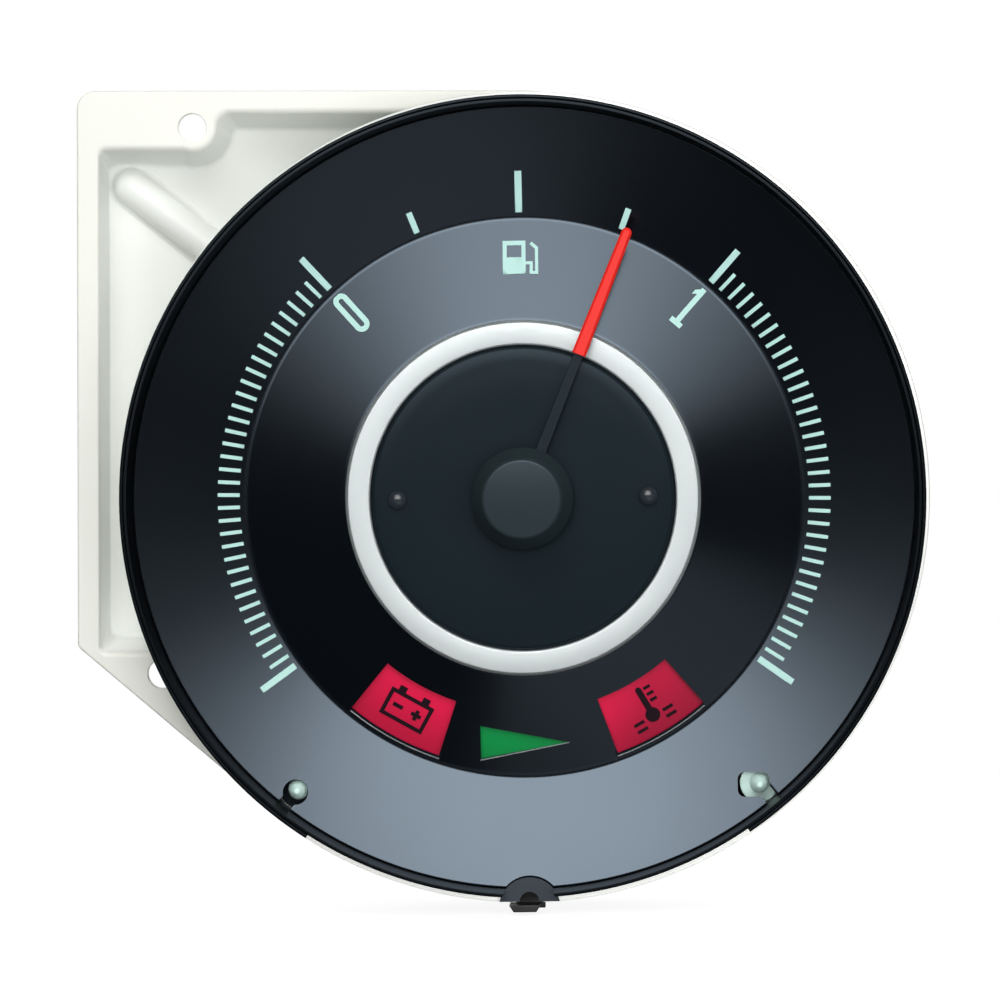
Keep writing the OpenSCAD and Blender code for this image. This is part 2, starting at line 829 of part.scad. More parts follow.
module locating_pins() {
    color("#c9e0d6") upright() for (side = [-1, 1])
        turned(side * pin_turn) translate([0, pin_out, 0]) {
            bar(pin_r, pin_foot, pin_top);
            bar(pin_shoulder_r, shoulder_z + face_gap, pin_shoulder_z);
            bar(pin_body_r, pin_shoulder_z - eps, pin_body_z);
            translate([0, 0, pin_top]) cylinder(r1 = pin_r, r2 = 0.25, h = 1.2);
        }
}

// POINTER

module on_pointer() {
    turned(rest_turn) children();
}

module spindle() {
    color("#b9bcc0") upright() {
        bar(spindle_r, spindle_foot, spindle_top);
        bar(spindle_r + 0.6, front_plate_z - bush_flange_t - 1.2, front_plate_z - bush_flange_t - 0.4);
    }
}

module hub_cap() {
    skirt_z = arm_z + arm_t + face_gap;
    roof_z = hub_z - 1;
    edge = 0.35;
    color("#17181a") upright() difference() {
        rotate_extrude() polygon([
            [0, skirt_z], [hub_base_r, skirt_z], [hub_base_r, skirt_z + 0.35],
            [hub_r, hub_z - edge], [hub_r - edge, hub_z], [0, hub_z]
        ]);
        difference() {
            translate([0, 0, skirt_z - eps])
                cylinder(r1 = hub_base_r - hub_wall, r2 = hub_r - hub_wall, h = roof_z - skirt_z);
            bar(1.8, 0, 20);
        }
        bar(spindle_r + 0.02, 0, spindle_top + face_gap);
        on_pointer() translate([-arm_w / 2 - face_gap, 0, skirt_z - 1]) cube([arm_w + 2 * face_gap, 20, 1.001]);
    }
}

module pointer_arm() {
    color("#121315") upright() on_pointer() translate([0, 0, arm_z]) linear_extrude(arm_t) difference() {
        union() {
            circle(r = 4);
            polygon([
                [-arm_w / 2, 0], [arm_w / 2, 0], [arm_w / 2 - 0.15, blade_from], [0.7, blade_from + 1],
                [0.45, pointer_len - 6], [-0.45, pointer_len - 6], [-0.7, blade_from + 1],
                [-arm_w / 2 + 0.15, blade_from]
            ]);
            translate([-2.4, -6.2]) square([4.8, 6.2]);
        }
        circle(r = spindle_r + 0.02);
    }
}

// The blade is a low ridge that narrows to a round tip
module pointer_tip() {
    low = arm_z + arm_t + face_gap / 2;
    tip_r = blade_tip_w / 2;
    color("#f0281e") upright() on_pointer() translate([0, 0, low]) hull() {
        translate([-blade_w / 2, blade_from, 0]) cube([blade_w, 0.1, 0.3]);
        translate([-blade_w / 6, blade_from, 0]) cube([blade_w / 3, 0.1, blade_t]);
        translate([0, pointer_len - tip_r, 0]) cylinder(r = tip_r, h = 0.25, $fn = 32);
        translate([0, pointer_len - tip_r, 0]) cylinder(r = tip_r / 3, h = blade_t - 0.2, $fn = 16);
    }
}

module counterweight() {
    low = arm_z + arm_t + face_gap;
    color("#b58a3c") upright() turned(rest_turn + 180) sector(-50, 50)
        translate([2.5, low]) square([3.3, 2.1]);
}

module armature() {
    color("#6d7074") upright() on_pointer() difference() {
        union() {
            intersection() {
                bar(5.2, coil_z - 2, coil_z + 2);
                translate([-2.4, -6, coil_z - 3]) cube([4.8, 12, 6]);
            }
            bar(2, coil_z - 3, coil_z + 3);
        }
        bar(spindle_r + 0.02, coil_z - 4, coil_z + 4);
    }
}

module stop_finger() {
    color("#b58a3c") upright() difference() {
        union() {
            bar(1.9, finger_z - 0.6, finger_z + 1.4);
            on_pointer() translate([-finger_w / 2, -finger_len, finger_z]) cube([finger_w, finger_len, 0.8]);
        }
        bar(spindle_r + 0.02, finger_z - 2, finger_z + 3);
    }
}

// MOVEMENT

module front_bush() {
    color("#c9a04a") upright() difference() {
        union() {
            bar(bush_r, front_plate_z - bush_flange_t, front_plate_z + plate_t + face_gap);
            bar(bush_flange_r, front_plate_z + plate_t + face_gap, front_plate_z + plate_t + face_gap + bush_flange_t);
        }
        bar(spindle_r + running_gap, -5, 12);
    }
}

module rear_bush() {
    top = rear_plate_z + plate_t + face_gap + bush_flange_t;
    color("#c9a04a") upright() difference() {
        union() {
            bar(bush_r, rear_plate_z - 1.4, top - eps);
            bar(bush_flange_r, top - bush_flange_t, top);
        }
        bar(spindle_r + running_gap, spindle_foot - face_gap, top + 1);
    }
}

module plate(r, low) {
    difference() {
        bar(r, low, low + plate_t);
        bar(bush_r + 0.02, low - 1, low + 3);
        for (p = pillar_places)
            translate([p[0], p[1], 0]) bar(tenon_r + 0.03, low - 1, low + 3);
    }
}

module front_plate() {
    color("#9a9da0") upright() difference() {
        plate(front_plate_r, front_plate_z);
        for (side = [-1, 1])
            translate([side * rivet_out, 0, 0]) bar(1.45, 0, 10);
    }
}

module rear_plate() {
    color("#9a9da0") upright() difference() {
        plate(rear_plate_r, rear_plate_z);
        for (turn = stud_turns)
            turned(turn) translate([0, stud_out, 0]) bar(floor_hole_r, -30, 0);
    }
}

module plate_pillars() {
    color("#c2a45a") upright() for (p = pillar_places)
        translate([p[0], p[1], 0]) {
            bar(pillar_r, rear_plate_z + plate_t + face_gap, front_plate_z - face_gap);
            bar(tenon_r, rear_plate_z - 0.3, front_plate_z + plate_t + 0.02);
        }
}

// Lays its children, drawn along z, on a coil axis that runs out from the dial axis
module on_coil(side) {
    turned(side * 135) translate([0, 0, coil_z]) rotate([-90, 0, 0]) children();
}

module winding(side) {
    on_coil(side) ring(coil_r, bobbin_tube_r + 0.03, coil_from, coil_to);
}

module empty_coil() {
    color("#b5622c") upright() winding(-1);
}

module full_coil() {
    color("#b5622c") upright() winding(1);
}

module coil_bobbins() {
    color("#d8d2bd") upright() for (side = [-1, 1])
        on_coil(side) difference() {
            union() {
                bar(coil_r + 0.4, coil_from - bobbin_wall - 0.02, coil_from - 0.02);
                bar(bobbin_tube_r, coil_from - 0.1, coil_to + 0.1);
                bar(coil_r + 0.4, coil_to + 0.02, coil_to + 0.02 + bobbin_wall);
            }
            bar(core_r + 0.03, 0, 40);
        }
}

module pole_cores() {
    color("#5f6265") upright() for (side = [-1, 1])
        difference() {
            union() {
                on_coil(side) bar(core_r, shoe_in + 0.4, bracket_in + bracket_t);
                turned(side * 135) translate([-shoe_w / 2, shoe_in - 1, coil_z - 4])
                    cube([shoe_w, shoe_out - shoe_in + 1, 8]);
            }
            bar(shoe_in, coil_z - 6, coil_z + 6);
        }
}

module core_brackets() {
    color("#8c8f93") upright() for (side = [-1, 1])
        difference() {
            turned(side * 135) translate([-4, bracket_in, rear_plate_z + plate_t + face_gap])
                cube([8, bracket_t, coil_z + 4 - rear_plate_z - plate_t]);
            on_coil(side) bar(core_r + 0.03, 15, 30);
        }
}

module coil_leads() {
    stud_top = rear_plate_z + plate_t + face_gap + washer_t + stud_head_t + 2 * face_gap;
    color("#c07a3a") upright() for (side = [-1, 1]) {
        translate([side * 12, -8.5, 0]) bar(0.35, stud_top, coil_z - coil_r + 0.4);
        translate([side * 8.5, -12, 0]) bar(0.35, rear_plate_z + plate_t + 0.02, coil_z - coil_r + 0.4);
    }
}

module stop_posts() {
    color("#b58a3c") upright() for (side = [-1, 1])
        turned(180 + side * stop_turn) translate([0, post_polar, 0])
            bar(stop_post_r, rear_plate_z + plate_t + 0.02, finger_z + 1.6);
}

// TERMINALS

module at_studs() {
    for (turn = stud_turns)
        turned(turn) translate([0, stud_out, 0]) children();
}

module terminal_studs() {
    head = rear_plate_z + plate_t + washer_t + 2 * face_gap;
    color("#c9a04a") upright() at_studs() {
        bar(stud_head_r, head, head + stud_head_t);
        bar(stud_r, stud_end, head + eps);
    }
}

module stud_bushings() {
    color("#8a3b2a") upright() at_studs() difference() {
        union() {
            bar(floor_hole_r - 0.1, -cup_depth + 0.1, rear_plate_z + plate_t - 0.1);
            bar(floor_hole_r + 1.8, floor_z + face_gap, rear_plate_z - face_gap);
        }
        bar(stud_r + 0.08, -40, 0);
    }
}

module fibre_washers() {
    back = circuit_z - circuit_t - face_gap;
    color("#6b3a22") upright() at_studs() {
        ring(3.9, stud_r + 0.1, rear_plate_z + plate_t + face_gap, rear_plate_z + plate_t + face_gap + washer_t);
        ring(4.2, stud_r + 0.1, back - washer_t, back);
    }
}

tab_z = circuit_z - circuit_t - washer_t - 2 * face_gap;
tab_t = 0.6;
nut_z = tab_z - tab_t - face_gap;

module stud_nuts() {
    color("#c8ccd0") upright() at_studs() difference() {
        translate([0, 0, nut_z - nut_t]) cylinder(r = nut_across / sqrt(3), h = nut_t, $fn = 6);
        bar(stud_r + 0.03, -50, 0);
    }
}

// One tab lies under each lower nut and reaches to the resistor between them
module resistor_tabs() {
    y = stud_out * cos(120);
    x = stud_out * sin(120);
    color("#c9a04a") upright() for (side = [-1, 1])
        difference() {
            union() {
                translate([side * x, y, 0]) bar(3.9, tab_z - tab_t, tab_z);
                translate([side > 0 ? 7.4 : -x, y - 1.6, tab_z - tab_t]) cube([x - 7.4, 3.2, tab_t]);
                translate([side > 0 ? 7.4 : -8.1, y - 1.6, tab_z - 3.6]) cube([0.7, 3.2, 3.6]);
            }
            translate([side * x, y, 0]) bar(stud_r + 0.1, -40, 0);
        }
}

module shunt_resistor() {
    y = stud_out * cos(120);
    color("#d9d3c3") upright() translate([-7.35, y - 3, tab_z - 4.6]) cube([14.7, 6, 4.2]);
}

// A circuit sheet with a round middle, an arm to each lamp and a band that joins the arms
module circuit_outline() {
    circle(r = 22);
    for (place = lamp_places)
        turned(place[0]) {
            translate([0, place[1]]) circle(r = holder_flange_r + 1);
            translate([-6, 0]) square([12, place[1]]);
        }
}

module printed_circuit() {
    color("#a9692b") upright() difference() {
        translate([0, 0, circuit_z - circuit_t]) linear_extrude(circuit_t) circuit_outline();
        for (place = lamp_places)
            turned(place[0]) translate([0, place[1], 0]) {
                bar(lamp_hole_r, -40, 0);
                translate([-lamp_hole_r - 1.6, -2.4, -40]) cube([2 * lamp_hole_r + 3.2, 4.8, 40]);
            }
        at_studs() bar(stud_r + 0.3, -40, 0);
    }
}

// LAMPS

module at_lamps() {
    for (place = lamp_places)
        turned(place[0]) translate([0, place[1], 0]) children();
}

// Flange and grip behind the circuit, barrel through the floor, two lugs turned past their notches
module lamp_holders() {
    lug_z = floor_z + face_gap;
    color("#2b4f7a") upright() at_lamps() difference() {
        union() {
            bar(holder_flange_r, holder_z - holder_flange_t, holder_z);
            bar(barrel_r, holder_z - eps, lug_z + lug_t + 2);
            translate([-6.5, -1.4, holder_z - holder_flange_t - 4.4]) cube([13, 2.8, 4.5]);
            rotate([0, 0, 90]) intersection() {
                translate([-barrel_r - lug_reach, -1.9, lug_z]) cube([2 * (barrel_r + lug_reach), 3.8, lug_t]);
                bar(barrel_r + lug_reach, -30, 0);
            }
        }
        bar(bulb_r + 0.15, holder_z - 0.4, 0);
        translate([-bulb_r + 0.35, -1.45, holder_z - 2]) cube([2 * bulb_r - 0.7, 2.9, 3]);
    }
}

module lamp_contacts() {
    color("#c98a4a") upright() at_lamps() for (side = [-1, 1])
        translate([side * (barrel_r + 1.1) - 0.6, -2, contact_z - contact_t]) cube([1.2, 4, contact_t]);
}

// Wedge-base glass bulb
module lamp_bulbs() {
    low = holder_z - 0.3;
    tall = 17;
    color("#e8e4d8") upright() at_lamps() {
        bar(bulb_r, low + 0.2, low + tall - bulb_r);
        translate([0, 0, low + tall - bulb_r]) sphere(r = bulb_r, $fn = 48);
        translate([-bulb_r + 0.5, -1.3, low - 1.5]) cube([2 * bulb_r - 1, 2.6, 3]);
    }
}

case_pan();
case_flange();
dial_bowl();
rim_band();
dial_plate();
dial_marks();
trim_ring();
centre_disc();
disc_rivets();
hub_cap();
pointer_arm();
pointer_tip();
battery_lens();
temperature_lens();
arrow_lens();
lens_symbols();
locating_pins();
rim_clip();
spindle();
armature();
stop_finger();
counterweight();
front_bush();
rear_bush();
front_plate();
rear_plate();
plate_pillars();
empty_coil();
full_coil();
coil_bobbins();
pole_cores();
core_brackets();
coil_leads();
stop_posts();
terminal_studs();
stud_bushings();
fibre_washers();
stud_nuts();
shunt_resistor();
resistor_tabs();
printed_circuit();
lamp_holders();
lamp_contacts();
lamp_bulbs();
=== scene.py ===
"""Looks of the car fuel gauge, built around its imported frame. Run as a script; laid out as an add-on."""
import json
import math

import bmesh
import bpy
from bpy.props import FloatProperty, FloatVectorProperty, PointerProperty
from mathutils import Matrix, Quaternion, Vector


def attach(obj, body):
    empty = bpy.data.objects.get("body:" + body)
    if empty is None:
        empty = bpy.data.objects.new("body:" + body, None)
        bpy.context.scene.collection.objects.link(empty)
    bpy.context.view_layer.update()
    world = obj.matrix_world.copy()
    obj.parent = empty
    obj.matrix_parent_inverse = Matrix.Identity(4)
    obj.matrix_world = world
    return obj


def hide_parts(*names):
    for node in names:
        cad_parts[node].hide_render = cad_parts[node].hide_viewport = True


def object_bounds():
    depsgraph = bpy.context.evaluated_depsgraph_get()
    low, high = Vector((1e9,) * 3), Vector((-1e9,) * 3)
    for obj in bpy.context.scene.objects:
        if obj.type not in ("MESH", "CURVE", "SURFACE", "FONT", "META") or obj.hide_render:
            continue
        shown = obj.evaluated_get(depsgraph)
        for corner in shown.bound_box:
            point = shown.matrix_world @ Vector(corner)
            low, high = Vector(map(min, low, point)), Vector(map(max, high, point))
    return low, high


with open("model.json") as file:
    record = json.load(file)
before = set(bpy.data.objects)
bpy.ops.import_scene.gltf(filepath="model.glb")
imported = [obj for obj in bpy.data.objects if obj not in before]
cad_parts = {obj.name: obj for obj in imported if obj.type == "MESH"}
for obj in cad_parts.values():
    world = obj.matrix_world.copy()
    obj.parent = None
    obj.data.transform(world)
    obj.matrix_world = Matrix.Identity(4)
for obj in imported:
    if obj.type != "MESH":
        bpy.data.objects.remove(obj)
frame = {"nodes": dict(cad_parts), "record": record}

bl_info = {
    "name": "Car Fuel Gauge",
    "version": (1, 0, 0),
    "blender": (4, 5, 0),
    "location": "View3D > Sidebar > Fuel Gauge",
    "description": "Builds the visible pieces of a round car fuel gauge",
    "category": "Object",
}

CAD_BOX = [list(corner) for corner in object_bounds()]
MM = 0.001
STEPS = 288

# Places in millimetres, in the dial's own frame: x right, y up, z towards the driver, 0 at the flange face
RIM_R, RIM_EDGE_R, RIM_IN, RIM_FRONT = 71.3, 70.8, 69.45, 7.8
NECK_R, NECK_IN, CUP_BACK, CUP_FLOOR = 68.4, 66.8, -26.0, -24.0
SHOULDER_Z, SHOULDER_BACK = 3.0, 1.4
BOWL_R, BOWL_IN, LIP_Z, SEAT_Z = 69.35, 68.5, 14.0, 3.05
DIAL_R, DIAL_FLAT_R, DIAL_RIM_Z, DIAL_FLANGE_Z, DIAL_T = 68.3, 67.0, 6.0, 6.4, 0.8
VALLEY_R, VALLEY_Z = 49.0, 2.4
TRIM_R, TRIM_IN, CONE_TOP_R = 31.1, 26.75, 31.2
DISC_Z, DISC_R, RIVET_OUT = 7.5, 26.6, 21.9
WINDOW_IN, WINDOW_OUT, WINDOW_FROM, WINDOW_TO = 37.6, 47.9, 139.7, 160.8
TICKS_FROM, TICK_SLIM = 35.0, 0.77
PIN_TURN, PIN_HOLE_TURN, PIN_OUT = 141.4, 141.3, 64.9
PAD_R, PAD_LOW, PAD_MID, PAD_Z, NOTCH_R = 5.45, 70.55, 71.9, 8.6, 1.72
REST_TURN, ARM_Z, ARM_T, POINTER_LEN, BLADE_FROM = 22.4, 9.0, 0.55, 50.5, 26.9
HUB_R, HUB_BASE_R, HUB_Z = 6.85, 8.9, 13.8

# The case's corner, drawn before its small clockwise turn
FLANGE_LEFT, FLANGE_TOP, FLANGE_T, FLANGE_TURN, CORNER_LOW, CORNER_R = -79.0, 71.5, 2.4, 1.0, -26.6, 3.2
POCKET_LEFT, POCKET_LOW, POCKET_MID, POCKET_HIGH, POCKET_Z, POCKET_BACK = -75.0, -27.3, 60.9, 67.4, -8.0, -9.4
POCKET_DRAFT = 16.7
UPPER_HOLE, HOLE_R, BOSS_R, LOWER_HOLE_TURN, LOWER_HOLE_OUT = (-58.6, 65.0), 2.5, 4.4, 243.9, 71.4
DUCT_START, DUCT_TURN, DUCT_R, DUCT_LEN = (-70.1, 54.9), -38.0, 3.3, 22.0
TOP_END, LOW_END, IN_WALL_R = (5.6, 71.06), (-46.0, -54.4), 67.6

# The rear: studs, and lamps by their clockwise turn and distance from the axis
STUD_TURNS, STUD_OUT, STUD_R, STUD_END, STUD_HEAD_R = (0, 120, 240), 15.0, 2.0, -35.0, 3.4
STUD_HEAD_Z, THREAD_TOP, NUT_Z, NUT_T, NUT_ACROSS = -19.2, -27.0, -28.1, 3.2, 7.0
LAMPS = ((-150.25, 42.8), (150.25, 42.8), (180, 42.8), (-62, 50.0), (62, 50.0))
LAMP_HOLE_R, CIRCUIT_BACK = 6.0, -26.65

# The stage, in metres and degrees. Lamps: name, place, width and height, setting, share of it, and if gloss shows it
STUDIO_LAMPS = (
    ("Low card", (0.15, -0.72, -0.30), (0.46, 0.34), "card", 1.0, True),
    ("Front fill", (0.0, -1.1, -0.1), (1.4, 1.2), "fill", 1.0, False),
    ("Overhead", (-0.15, -0.8, 0.85), (0.9, 0.6), "over", 1.0, False),
    ("Side fill", (0.75, -0.8, 0.1), (0.6, 0.6), "side", 1.0, False),
    ("Rear wall", (0.0, 1.5, 0.2), (2.8, 1.8), "rear", 0.4, True),
    ("Rear softbox", (-0.75, 0.95, 0.55), (0.9, 0.9), "rear", 1.0, True),
    ("Rear softbox", (0.75, 0.95, 0.55), (0.9, 0.9), "rear", 1.0, True),
)
SOFTBOX_SIZE = 0.50, 0.29, 0.12, 0.04    # half width, half height, fade at the lower edge, bright middle
SOFTBOX_PLACE = -0.02, 0.8, 24.0, 4.0    # sideways, distance, elevation, roll
CAMERA_TURNS, CAMERA_AWAY, CAMERA_LENS, CAMERA_SHIFT = (2.0, 1.5, 1.0), 0.85, 176.57, (-0.0215, -0.001)
FLOOR_R, FLOOR_GAP, DOME_R = 3.0, 0.0006, 4.0


def cone_z(r):
    """Height of the dial's raised inner cone."""
    return VALLEY_Z + (VALLEY_R - r) * (DIAL_FLANGE_Z - VALLEY_Z) / (VALLEY_R - CONE_TOP_R)


def bowl_z(r):
    """Height of the dial's outer bowl."""
    return VALLEY_Z + (r - VALLEY_R) * (DIAL_RIM_Z - VALLEY_Z) / (DIAL_FLAT_R - VALLEY_R)


def polar(turn, r):
    """A place on the dial by its clockwise turn from the top and its distance from the axis."""
    angle = math.radians(turn)
    return r * math.sin(angle), r * math.cos(angle)


def arc(centre, r, start, end, parts):
    """Points along an arc, counter-clockwise angles from x."""
    angles = [math.radians(start + (end - start) * i / parts) for i in range(parts + 1)]
    return [(centre[0] + r * math.cos(a), centre[1] + r * math.sin(a)) for a in angles]


def stretch(start, end, parts):
    """Points at equal steps between two places, without the places."""
    return [(start[0] + (end[0] - start[0]) * i / parts, start[1] + (end[1] - start[1]) * i / parts)
            for i in range(1, parts)]


# MESH HELPERS

def outward(bm):
    """Turns a closed mesh's faces outwards."""
    bmesh.ops.recalc_face_normals(bm, faces=bm.faces)
    return bm


def turned(bm, degrees, axis="Z"):
    """Turns a whole mesh round an axis."""
    bmesh.ops.rotate(bm, verts=bm.verts, cent=(0, 0, 0), matrix=Matrix.Rotation(math.radians(degrees), 3, axis))


def spun(corners, rounds=(), turn=360.0, start=0.0, steps=STEPS, parts=4):
    """A closed profile of (radius, height) corners, spun round the dial axis. Rounds: (radius, corner indices)."""
    bm = bmesh.new()
    verts = [bm.verts.new((0.0, r, z)) for r, z in corners]
    bm.faces.new(verts)
    for radius, picks in rounds:
        bmesh.ops.bevel(bm, geom=[verts[i] for i in picks], offset=radius, offset_type="OFFSET", segments=parts,
                        profile=0.5, affect="VERTICES", material=-1)
    face = next(iter(bm.faces))
    geom = list(face.verts) + list(face.edges)
    whole = abs(turn) >= 360
    turned(bm, -start)
    if whole:
        bmesh.ops.delete(bm, geom=[face], context="FACES_ONLY")
    bmesh.ops.spin(bm, geom=geom, cent=(0, 0, 0), axis=(0, 0, 1), angle=math.radians(-turn), steps=steps,
                   use_merge=whole, use_duplicate=False)
    bmesh.ops.remove_doubles(bm, verts=bm.verts, dist=1e-5)
    if not whole:
        bmesh.ops.holes_fill(bm, edges=bm.edges, sides=0)
    return outward(bm)


def pushed(bm, faces, vec):
    """Extrudes faces along a vector."""
    made = bmesh.ops.extrude_face_region(bm, geom=faces)
    bmesh.ops.translate(bm, verts=[g for g in made["geom"] if isinstance(g, bmesh.types.BMVert)], vec=vec)


def slab(points, low, high):
    """An upright slab over a flat outline."""
    bm = bmesh.new()
    pushed(bm, [bm.faces.new([bm.verts.new((x, y, low)) for x, y in points])], (0, 0, high - low))
    return outward(bm)


def block(size, centre):
    """A box by its size and centre."""
    bm = bmesh.new()
    bmesh.ops.create_cube(bm, size=1.0)
    bmesh.ops.scale(bm, vec=size, verts=bm.verts)
    bmesh.ops.translate(bm, vec=centre, verts=bm.verts)
    return bm


def disc_bar(r, low, high, steps=64):
    """A round bar along the dial axis."""
    return spun([(0, low), (r, low), (r, high), (0, high)], steps=steps)


def moved(bm, vec=(0, 0, 0), turn=0.0):
    """Moves a mesh in the dial frame, then turns it clockwise round the axis."""
    bmesh.ops.translate(bm, vec=vec, verts=bm.verts)
    turned(bm, -turn)
    return bm


def joined(*parts):
    """One mesh from several."""
    whole = parts[0]
    for part in parts[1:]:
        mesh = bpy.data.meshes.new("part")
        part.to_mesh(mesh)
        whole.from_mesh(mesh)
        bpy.data.meshes.remove(mesh)
        part.free()
    return whole


def link(bm, points, z, first, last):
    """A row of edges through points at one height, from one corner to another."""
    verts = [first] + [bm.verts.new((x, y, z)) for x, y in points] + [last]
    return [bm.edges.new(pair) for pair in zip(verts, verts[1:])]


def row(bm, points, z, closed=False):
    """A row of edges through points at one height."""
    verts = [bm.verts.new((x, y, z)) for x, y in points]
    ends = verts[1:] + verts[:1] if closed else verts[1:]
    return [bm.edges.new(pair) for pair in zip(verts, ends)]


def bridged(bm, rows):
    """Joins rows of edges by faces, one after the other."""
    for first, second in zip(rows, rows[1:]):
        bmesh.ops.bridge_loops(bm, edges=first + second)


def wall(bm, points_at, levels, closed=False):
    """Faces through points_at(inset) at each (inset, height) level. Gives each level's edges and points."""
    rows = []
    for inset, z in levels:
        points = points_at(inset)
        rows.append((row(bm, points, z, closed), points))
    bridged(bm, [edges for edges, points in rows])
    return rows


def filled(bm, edges):
    """Flat faces between edges."""
    bmesh.ops.triangle_fill(bm, use_beauty=True, use_dissolve=False, normal=(0, 0, 1), edges=edges)


def in_scene(name, bm):
    """A new object in the scene, made from a mesh."""
    mesh = bpy.data.meshes.new(name)
    bm.to_mesh(mesh)
    bm.free()
    obj = bpy.data.objects.new(name, mesh)
    bpy.context.scene.collection.objects.link(obj)
    return obj


def as_object(name, bm):
    """An object at the origin, in metres, from a mesh drawn in the dial frame."""
    turned(bm, 90, "X")
    bmesh.ops.scale(bm, vec=(MM, MM, MM), verts=bm.verts)
    return in_scene(name, bm)


def flat_normals(obj, as_shaded=False):
    """Normals that keep the large faces flat, on smooth shading or on the shading that the piece has."""
    if not as_shaded:
        obj.data.shade_smooth()
    normals = obj.modifiers.new("Flat faces", "WEIGHTED_NORMAL")
    normals.keep_sharp = as_shaded
    return obj


def merged(name, *objs):
    """One object from several, with their modifiers put in and their flat faces kept flat."""
    bm = bmesh.new()
    for obj in objs:
        for modifier in [m for m in obj.modifiers if m.type == "WEIGHTED_NORMAL"]:
            obj.modifiers.remove(modifier)
        apply_modifiers(obj)
        bm.from_mesh(obj.data)
        bpy.data.objects.remove(obj)
    return flat_normals(in_scene(name, bm), as_shaded=True)


def cut(obj, *cutters):
    """Takes other meshes, drawn in the dial frame, out of an object for good."""
    for cutter in cutters:
        tool = as_object("cutter", cutter)
        modifier = obj.modifiers.new("Cut", "BOOLEAN")
        modifier.operation, modifier.solver, modifier.object = "DIFFERENCE", "EXACT", tool
        apply_modifiers(obj)
        bpy.data.objects.remove(tool)
    return obj


def whole_flats(obj):
    """Joins the small faces that cuts leave in a flat one."""
    bm = bmesh.new()
    bm.from_mesh(obj.data)
    bmesh.ops.dissolve_limit(bm, angle_limit=math.radians(0.1), verts=bm.verts, edges=bm.edges)
    bm.to_mesh(obj.data)
    bm.free()
    return obj


def apply_modifiers(obj):
    """Puts the modifiers into the mesh."""
    bpy.context.view_layer.update()
    graph = bpy.context.evaluated_depsgraph_get()
    done = bpy.data.meshes.new_from_object(obj.evaluated_get(graph))
    old, obj.data = obj.data, done
    obj.modifiers.clear()
    bpy.data.meshes.remove(old)


def cad_copy(name, node, tidy=True):
    """A merged copy of a CAD node's mesh, with its flat faces whole, to be softened at the edges."""
    bm = bmesh.new()
    bm.from_mesh(frame["nodes"][node].data)
    bmesh.ops.remove_doubles(bm, verts=bm.verts, dist=2e-6)
    if tidy:
        bmesh.ops.dissolve_limit(bm, angle_limit=math.radians(0.6), verts=bm.verts, edges=bm.edges)
    return in_scene(name, bm)


def islands(bm):
    """The separate parts of a mesh, each as its points."""
    seen = set()
    for start in bm.verts:
        if start in seen:
            continue
        seen.add(start)
        group, queue = [], [start]
        while queue:
            vert = queue.pop()
            group.append(vert)
            near = [other for other in (edge.other_vert(vert) for edge in vert.link_edges) if other not in seen]
            seen.update(near)
            queue.extend(near)
        yield group


def soften(obj, width, angle=32.0):
    """Small rounded edges, and normals that keep the flats flat."""
    bevel = obj.modifiers.new("Soft edges", "BEVEL")
    bevel.width, bevel.segments = width * MM, 2
    bevel.limit_method, bevel.angle_limit = "ANGLE", math.radians(angle)
    bevel.use_clamp_overlap = True
    return flat_normals(obj)


def crisp(obj, angle=35.0):
    """Smooth shading, with sharp edges only where the faces turn by more than an angle."""
    obj.data.shade_smooth()
    obj.data.set_sharp_from_angle(angle=math.radians(angle))
    return obj


def like(node):
    """The slot and the finish of a CAD node."""
    slot = next(part["material_slot"] for part in frame["record"]["subparts"] if part["node"] == node)
    return slot, frame["nodes"][node].data.materials[0]


def finished(obj, body, slot, material):
    """Gives a piece its material and its body; the slot is not used."""
    obj.data.materials.clear()
    obj.data.materials.append(material)
    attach(obj, body)


def placed(obj, body, *nodes):
    """Finishes a piece that stands for CAD nodes like the first of them."""
    finished(obj, body, *like(nodes[0]))
    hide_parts(*nodes)


def crisp_piece(name, bm, angle, body, node):
    """A piece in a CAD node's place, from a mesh drawn in the dial frame."""
    placed(crisp(as_object(name, bm), angle), body, node)


def soft_copy(name, node, width, body="case"):
    """A piece with a CAD node's shape and softened edges, in its place."""
    placed(soften(cad_copy(name, node), width), body, node)


# MATERIALS

